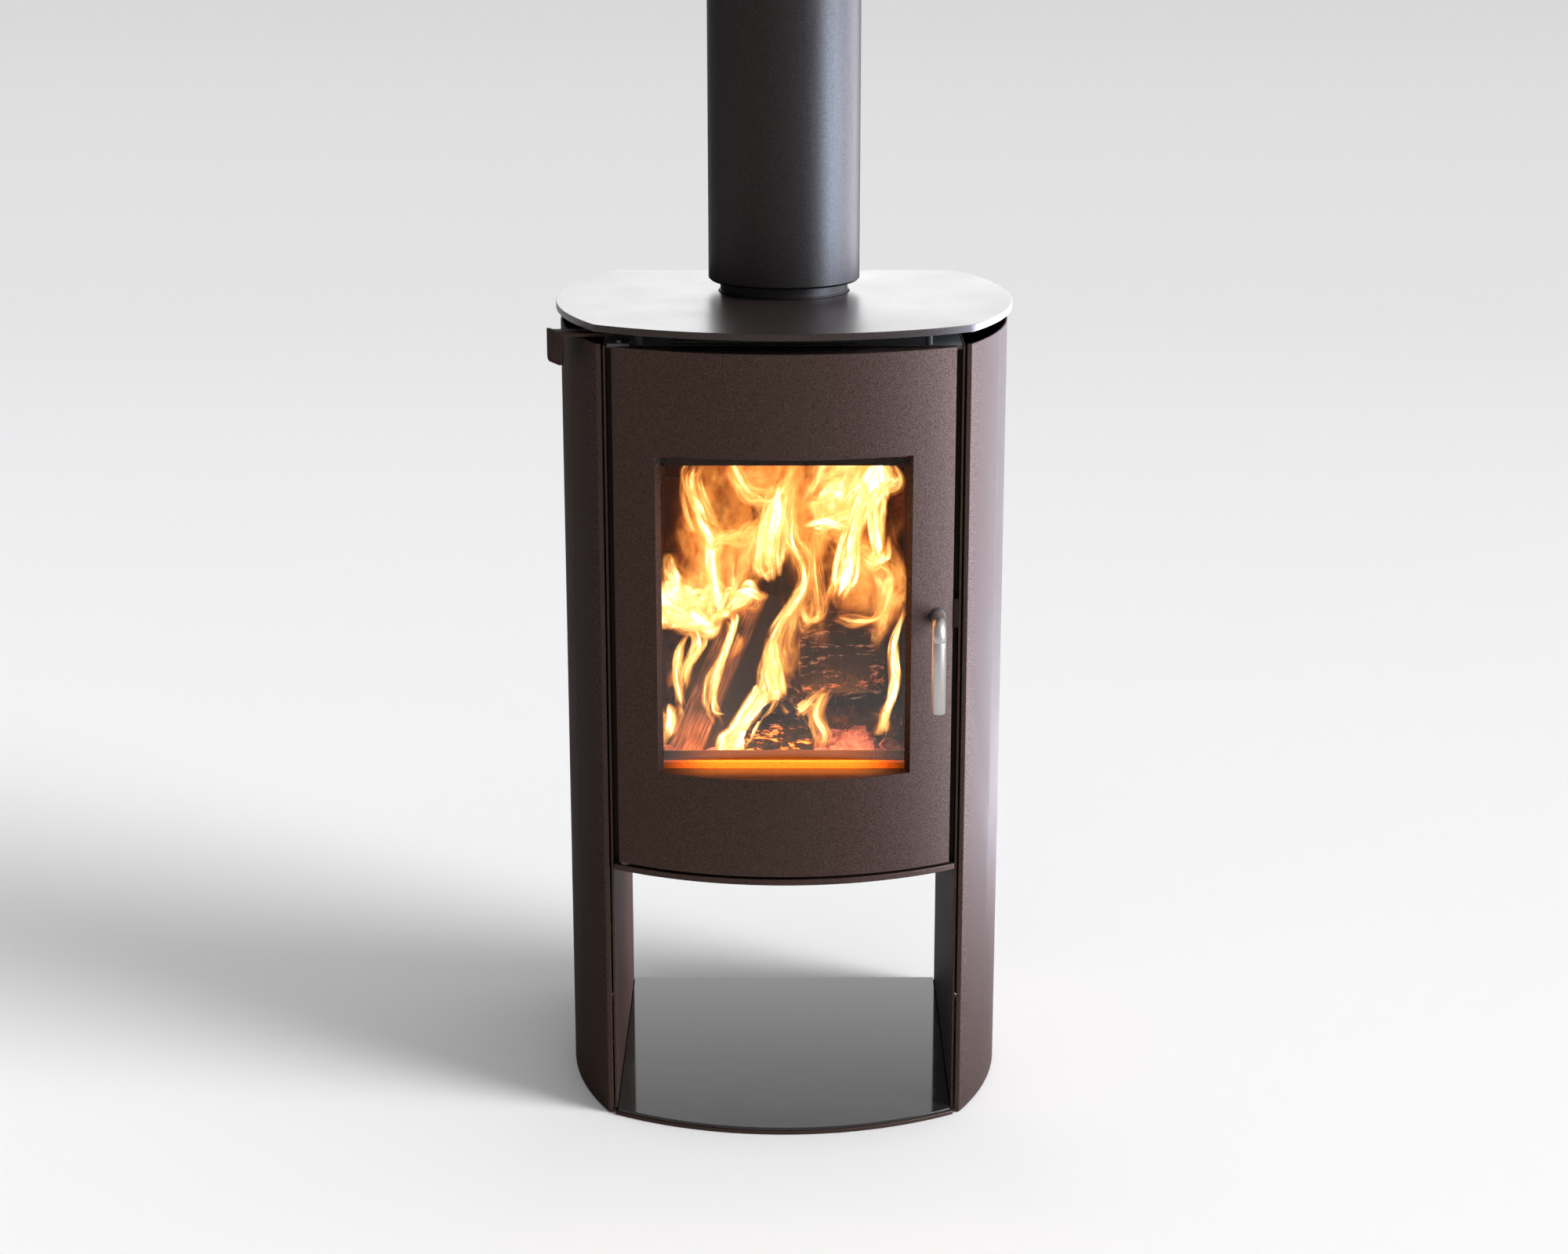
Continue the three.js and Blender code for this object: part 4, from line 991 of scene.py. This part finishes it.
def make_embers():
    """Glowing lumps heaped on the hearth, most of them at the front right."""
    rng = random.Random(11)
    bm = bmesh.new()
    hearth = Box("hearth_brick").z1
    for (x, y), spread, tall, count in (
            ((0.080, -0.158), 0.034, 0.046, 70), ((0.0, -0.150), 0.14, 0.012, 90),
            ((0.02, -0.02), 0.12, 0.018, 40)):
        for _ in range(count):
            angle, reach = rng.uniform(0, 2 * math.pi), math.sqrt(rng.random())
            px = max(-0.135, min(0.135, x + spread * reach * math.cos(angle)))
            py = max(-0.200, y + 0.7 * spread * reach * math.sin(angle))
            pz = hearth + tall * (1 - reach) * rng.random() + 0.006
            size = rng.uniform(0.006, 0.014)
            lump = bmesh.ops.create_icosphere(bm, subdivisions=2, radius=size)
            shift = Vector((rng.uniform(0, 50), 0, 0))
            for vert in lump["verts"]:
                vert.co *= 1 + 0.5 * noise.noise(vert.co * 130 + shift)
                vert.co.z *= 0.75
            bmesh.ops.translate(bm, vec=(px, py, pz), verts=lump["verts"])
    make_piece("ember_bed", bm, "embers", sharp=40)


# Each flame: the way it runs as X, Z, X, Z and so on in mm, its half width in mm and its brightness.
FLAMES = {
    "flames_left": (-0.150, [
        ((-134, 630, -128, 600, -112, 586, -78, 574), 18, 15),
        ((-118, 574, -104, 596, -88, 602, -70, 606), 13, 9),
        ((-66, 590, -52, 604, -38, 612, -24, 606), 10, 14),
        ((-80, 584, -77, 600, -82, 640, -83, 676, -96, 702, -107, 742, -103, 768), 9, 4.2),
        ((-96, 660, -100, 700, -104, 756), 13, 0.9),
        ((-86, 664, -76, 678, -52, 677, -33, 688, -20, 712), 9, 3.2),
        ((-88, 590, -90, 640, -72, 690), 26, 1.2), ((-58, 590, -56, 630, -44, 672, -34, 700), 17, 2.0),
        ((-118, 500, -113, 524, -99, 552, -106, 580), 5, 6),
        ((-119, 474, -126, 505, -123, 540, -112, 566), 4, 5), ((-136, 436, -132, 458, -135, 478), 8, 9),
        ((-132, 500, -131, 512, -128, 520), 5, 4),
    ]),
    "flames_front": (-0.176, [
        ((-76, 466, -84, 490, -81, 520, -68, 552, -60, 578, -62, 596), 5, 8),
        ((-62, 540, -52, 556, -50, 572), 5, 4), ((-66, 412, -60, 432, -44, 458, -28, 486, -20, 506), 11, 15),
        ((-46, 414, -46, 424, -42, 436), 6, 6),
        ((-24, 480, -10, 496, -17, 540, -6, 580, 20, 620, 23, 650, 9, 686, 13, 726), 6, 4),
        ((-8, 484, -11, 510, -15, 540, -12, 570), 8, 9), ((0, 500, 2, 540, 6, 580, 18, 610), 11, 1.2),
        ((-2, 490, 8, 480, 20, 476, 36, 492, 46, 504), 6, 3.4),
        ((44, 432, 48, 448, 38, 470, 44, 492, 52, 500), 6, 2.6),
        ((116, 452, 120, 474, 130, 512, 127, 556, 138, 598), 4, 10), ((114, 450, 117, 462, 114, 482), 7, 8),
    ]),
    "flames_middle": (-0.130, [
        ((-12, 622, -18, 660, -10, 700, -6, 742), 11, 9), ((-24, 640, -30, 668, -18, 700), 7, 2.5),
        ((-64, 776, -50, 736, -20, 716, 0, 736, 14, 772), 8, 3.2), ((-30, 712, -32, 740, -28, 782), 32, 0.9),
        ((2, 640, 6, 676, 0, 716, 8, 752, 4, 784), 13, 1.8),
        ((20, 596, 28, 572, 42, 588, 36, 640, 34, 690), 6, 2.0),
        ((46, 586, 60, 620, 68, 648, 54, 684), 6, 1.7),
        ((60, 580, 84, 574, 112, 580, 122, 606, 124, 630, 106, 641, 84, 636), 5, 2.0),
        ((74, 590, 92, 610, 112, 600), 22, 0.8), ((110, 572, 112, 600, 108, 626), 5, 1.6),
    ]),
    "flames_right": (-0.145, [
        ((34, 696, 54, 698, 76, 702, 92, 716), 9, 14), ((44, 700, 50, 724, 66, 752, 60, 784), 22, 7),
        ((84, 708, 94, 728, 102, 752, 108, 780), 16, 15), ((40, 764, 76, 766, 108, 766), 12, 4),
        ((64, 608, 73, 638, 82, 684, 92, 726, 96, 750), 7, 11),
        ((94, 656, 103, 650, 112, 652, 115, 664), 8, 16), ((112, 650, 107, 684, 104, 722, 98, 744), 6, 8),
        ((76, 654, 92, 666, 104, 656), 5, 2.4), ((30, 640, 40, 690, 56, 734), 15, 1.4),
        ((72, 586, 84, 640, 88, 700), 30, 1.5), ((114, 560, 120, 610, 112, 670), 18, 1.8),
        ((52, 690, 66, 712, 92, 716), 16, 3.0),
    ]),
    "flames_behind": (0.020, [
        ((-70, 600, -76, 660, -66, 730, -70, 790), 32, 0.8),
        ((-10, 600, -4, 660, -14, 730, -8, 790), 34, 0.7), ((60, 600, 66, 660, 54, 730, 60, 790), 34, 0.8),
    ]),
}


def smooth_line(points, steps):
    """Places along a smooth curve through all points."""
    ends = [points[0] * 2 - points[1], *points, points[-1] * 2 - points[-2]]
    places = []
    for i in range(steps + 1):
        t = i / steps * (len(points) - 1)
        k = min(int(t), len(points) - 2)
        a, b, c, d = ends[k:k + 4]
        t -= k
        places.append(0.5 * (2 * b + (c - a) * t + (2 * a - 5 * b + 4 * c - d) * t * t
                             + (3 * b - a - 3 * c + d) * t ** 3))
    return places


class Flames:
    """Curved strips of burning gas in one mesh, with what their material reads."""

    NAMES = ("across", "along", "rest", "seed", "might")
    ROOM = ((-0.143, 0.143), (-0.211, 0.084), (0.408, 0.793))

    def __init__(self, seed):
        self.rng = random.Random(seed)
        self.bm = bmesh.new()
        for name in self.NAMES:
            self.bm.verts.layers.float.new(name)

    def strip(self, line, depth, half_width, might, cuts=8):
        """One strip that follows a line and stands across the view, bowed and swaying in depth."""
        layers = [self.bm.verts.layers.float[name] for name in self.NAMES]
        rng = self.rng
        seed, phase = rng.uniform(0, 60), rng.uniform(0, 6.28)
        length = sum((b - a).length for a, b in zip(line, line[1:]))
        rows = []
        for i, spot in enumerate(line):
            v = i / (len(line) - 1)
            way = (line[min(i + 1, len(line) - 1)] - line[max(i - 1, 0)]).normalized()
            side = Vector((way.y, -way.x))
            wide = half_width * (0.30 + 0.70 * math.sin(math.pi * v ** 0.8) ** 0.7)
            row = []
            for k in range(cuts + 1):
                u = 2 * k / cuts - 1
                flat = spot + side * wide * u
                y = depth + 0.006 * math.sin(phase + 5 * v) + 0.5 * wide * (1 - u * u)
                held = [max(low, min(high, c)) for c, (low, high) in zip((flat.x, y, flat.y), self.ROOM)]
                vert = self.bm.verts.new(held)
                for layer, value in zip(layers, (u, v * length / 0.1, (1 - v) * length / 0.1, seed, might)):
                    vert[layer] = value
                row.append(vert)
            rows.append(row)
        for row, following in zip(rows, rows[1:]):
            for k in range(cuts):
                self.bm.faces.new((row[k], row[k + 1], following[k + 1], following[k]))

    def flame(self, run, depth, half_width, might):
        """A strip along the flame's line and fainter ones that wander beside it."""
        points = [Vector(p) * MM for p in zip(run[::2], run[1::2])]
        half_width *= MM
        steps = 12 * len(points)
        self.strip(smooth_line(points, steps), depth, 1.3 * half_width, might)
        for side, share in ((-1.2, 0.3), (-0.8, 0.4), (0.8, 0.4), (1.2, 0.3), (-0.4, 0.25), (0.4, 0.25)):
            moved = [p + Vector((self.rng.gauss(0.9 * side, 0.45), self.rng.gauss(0, 0.8))) * half_width
                     for p in points]
            self.strip(smooth_line(moved, steps), depth + 0.008 * side, half_width, share * might)


def make_flames():
    for number, (name, (depth, flames)) in enumerate(FLAMES.items()):
        fire = Flames(40 + number)
        for run, half_width, might in flames:
            fire.flame(run, depth, half_width, might)
        piece = make_piece(name, fire.bm, "flame", sharp=180)
        piece.visible_shadow = False


def make_fire_lights():
    """The fire's light on the linings and logs, and through the window on the sill, the surround and
    the handle. Each row gives a lamp's place, what it points at, its size, power and colour."""
    deep, amber = (1.0, 0.32, 0.08), (1.0, 0.36, 0.04)
    lamps = [area_light(*row) for row in (
        ("fire_up", (0.0, -0.06, 0.47), (0, -0.02, 0.8), (0.2, 0.12), 0.62, deep),
        ("fire_down", (0.0, -0.10, 0.77), (0, -0.08, 0.4), (0.2, 0.14), 0.70, deep),
        ("fire_left", (-0.120, -0.205, 0.46), (-0.09, -0.14, 0.50), (0.05, 0.10), 0.07, (1.0, 0.60, 0.38)),
        ("fire_out", (0.0, -0.195, 0.60), (0, -1.0, 0.45), (0.24, 0.30), 0.4, (1.0, 0.42, 0.14)),
        ("fire_sill", (0.0, -0.247, 0.470), (0, -0.255, 0.4345), (0.20, 0.008), 0.12, (1.0, 0.34, 0.03)),
        ("fire_edge", (0.0, -0.290, 0.490), (0, -0.243, 0.436), (0.21, 0.010), 2.2, amber),
        ("fire_reveal", (-0.122, -0.13, 0.62), (-0.125, -1, 0.55), (0.03, 0.34), 0.5, (1.0, 0.45, 0.22)))]
    *_, sill, edge, reveal = lamps
    sill.data.spread = math.radians(110)
    edge.data.spread = math.radians(80)
    edge.visible_glossy = False
    reveal.visible_diffuse = False


# ------------------------------------------------------------------ CAD nodes that stay
def dress_nodes():
    """Every CAD node gets the material of its slot, or a darker copy of the body paint where it lies deep in
    a gap: painted shade.
    """
    inner = ("firebox_front_frame", "door_back_plate", "door_bottom_rail", "door_top_rail",
             "rear_heat_shield", "latch_keeper")
    special = dict.fromkeys(inner, "gap_shade_paint")
    special.update(glass_gasket="glass_tape", log_guard="fire_stained")
    for row in frame["record"]["subparts"]:
        node = frame["nodes"][row["node"]]
        name = special.get(row["node"], row["material_slot"])
        if "spacer" in row["node"]:
            name = "cast_iron"
        # brackets lie deep in gaps too and get the darker painted-shade copy of the body paint
        elif "bracket" in row["node"]:
            name = "gap_shade_paint"
        node.data.materials.clear()
        node.data.materials.append(MATERIALS[name])


bpy.context.scene.view_settings.view_transform = "Standard"
bpy.context.scene.cycles.transparent_max_bounces = 48

make_camera()
make_materials()
make_floor()
make_world()
dress_nodes()
make_base()
make_panels()
make_top()
make_flue()
make_door()
make_handle()
make_lever()
make_linings()
make_logs()
make_embers()
make_flames()
make_fire_lights()
make_cards()
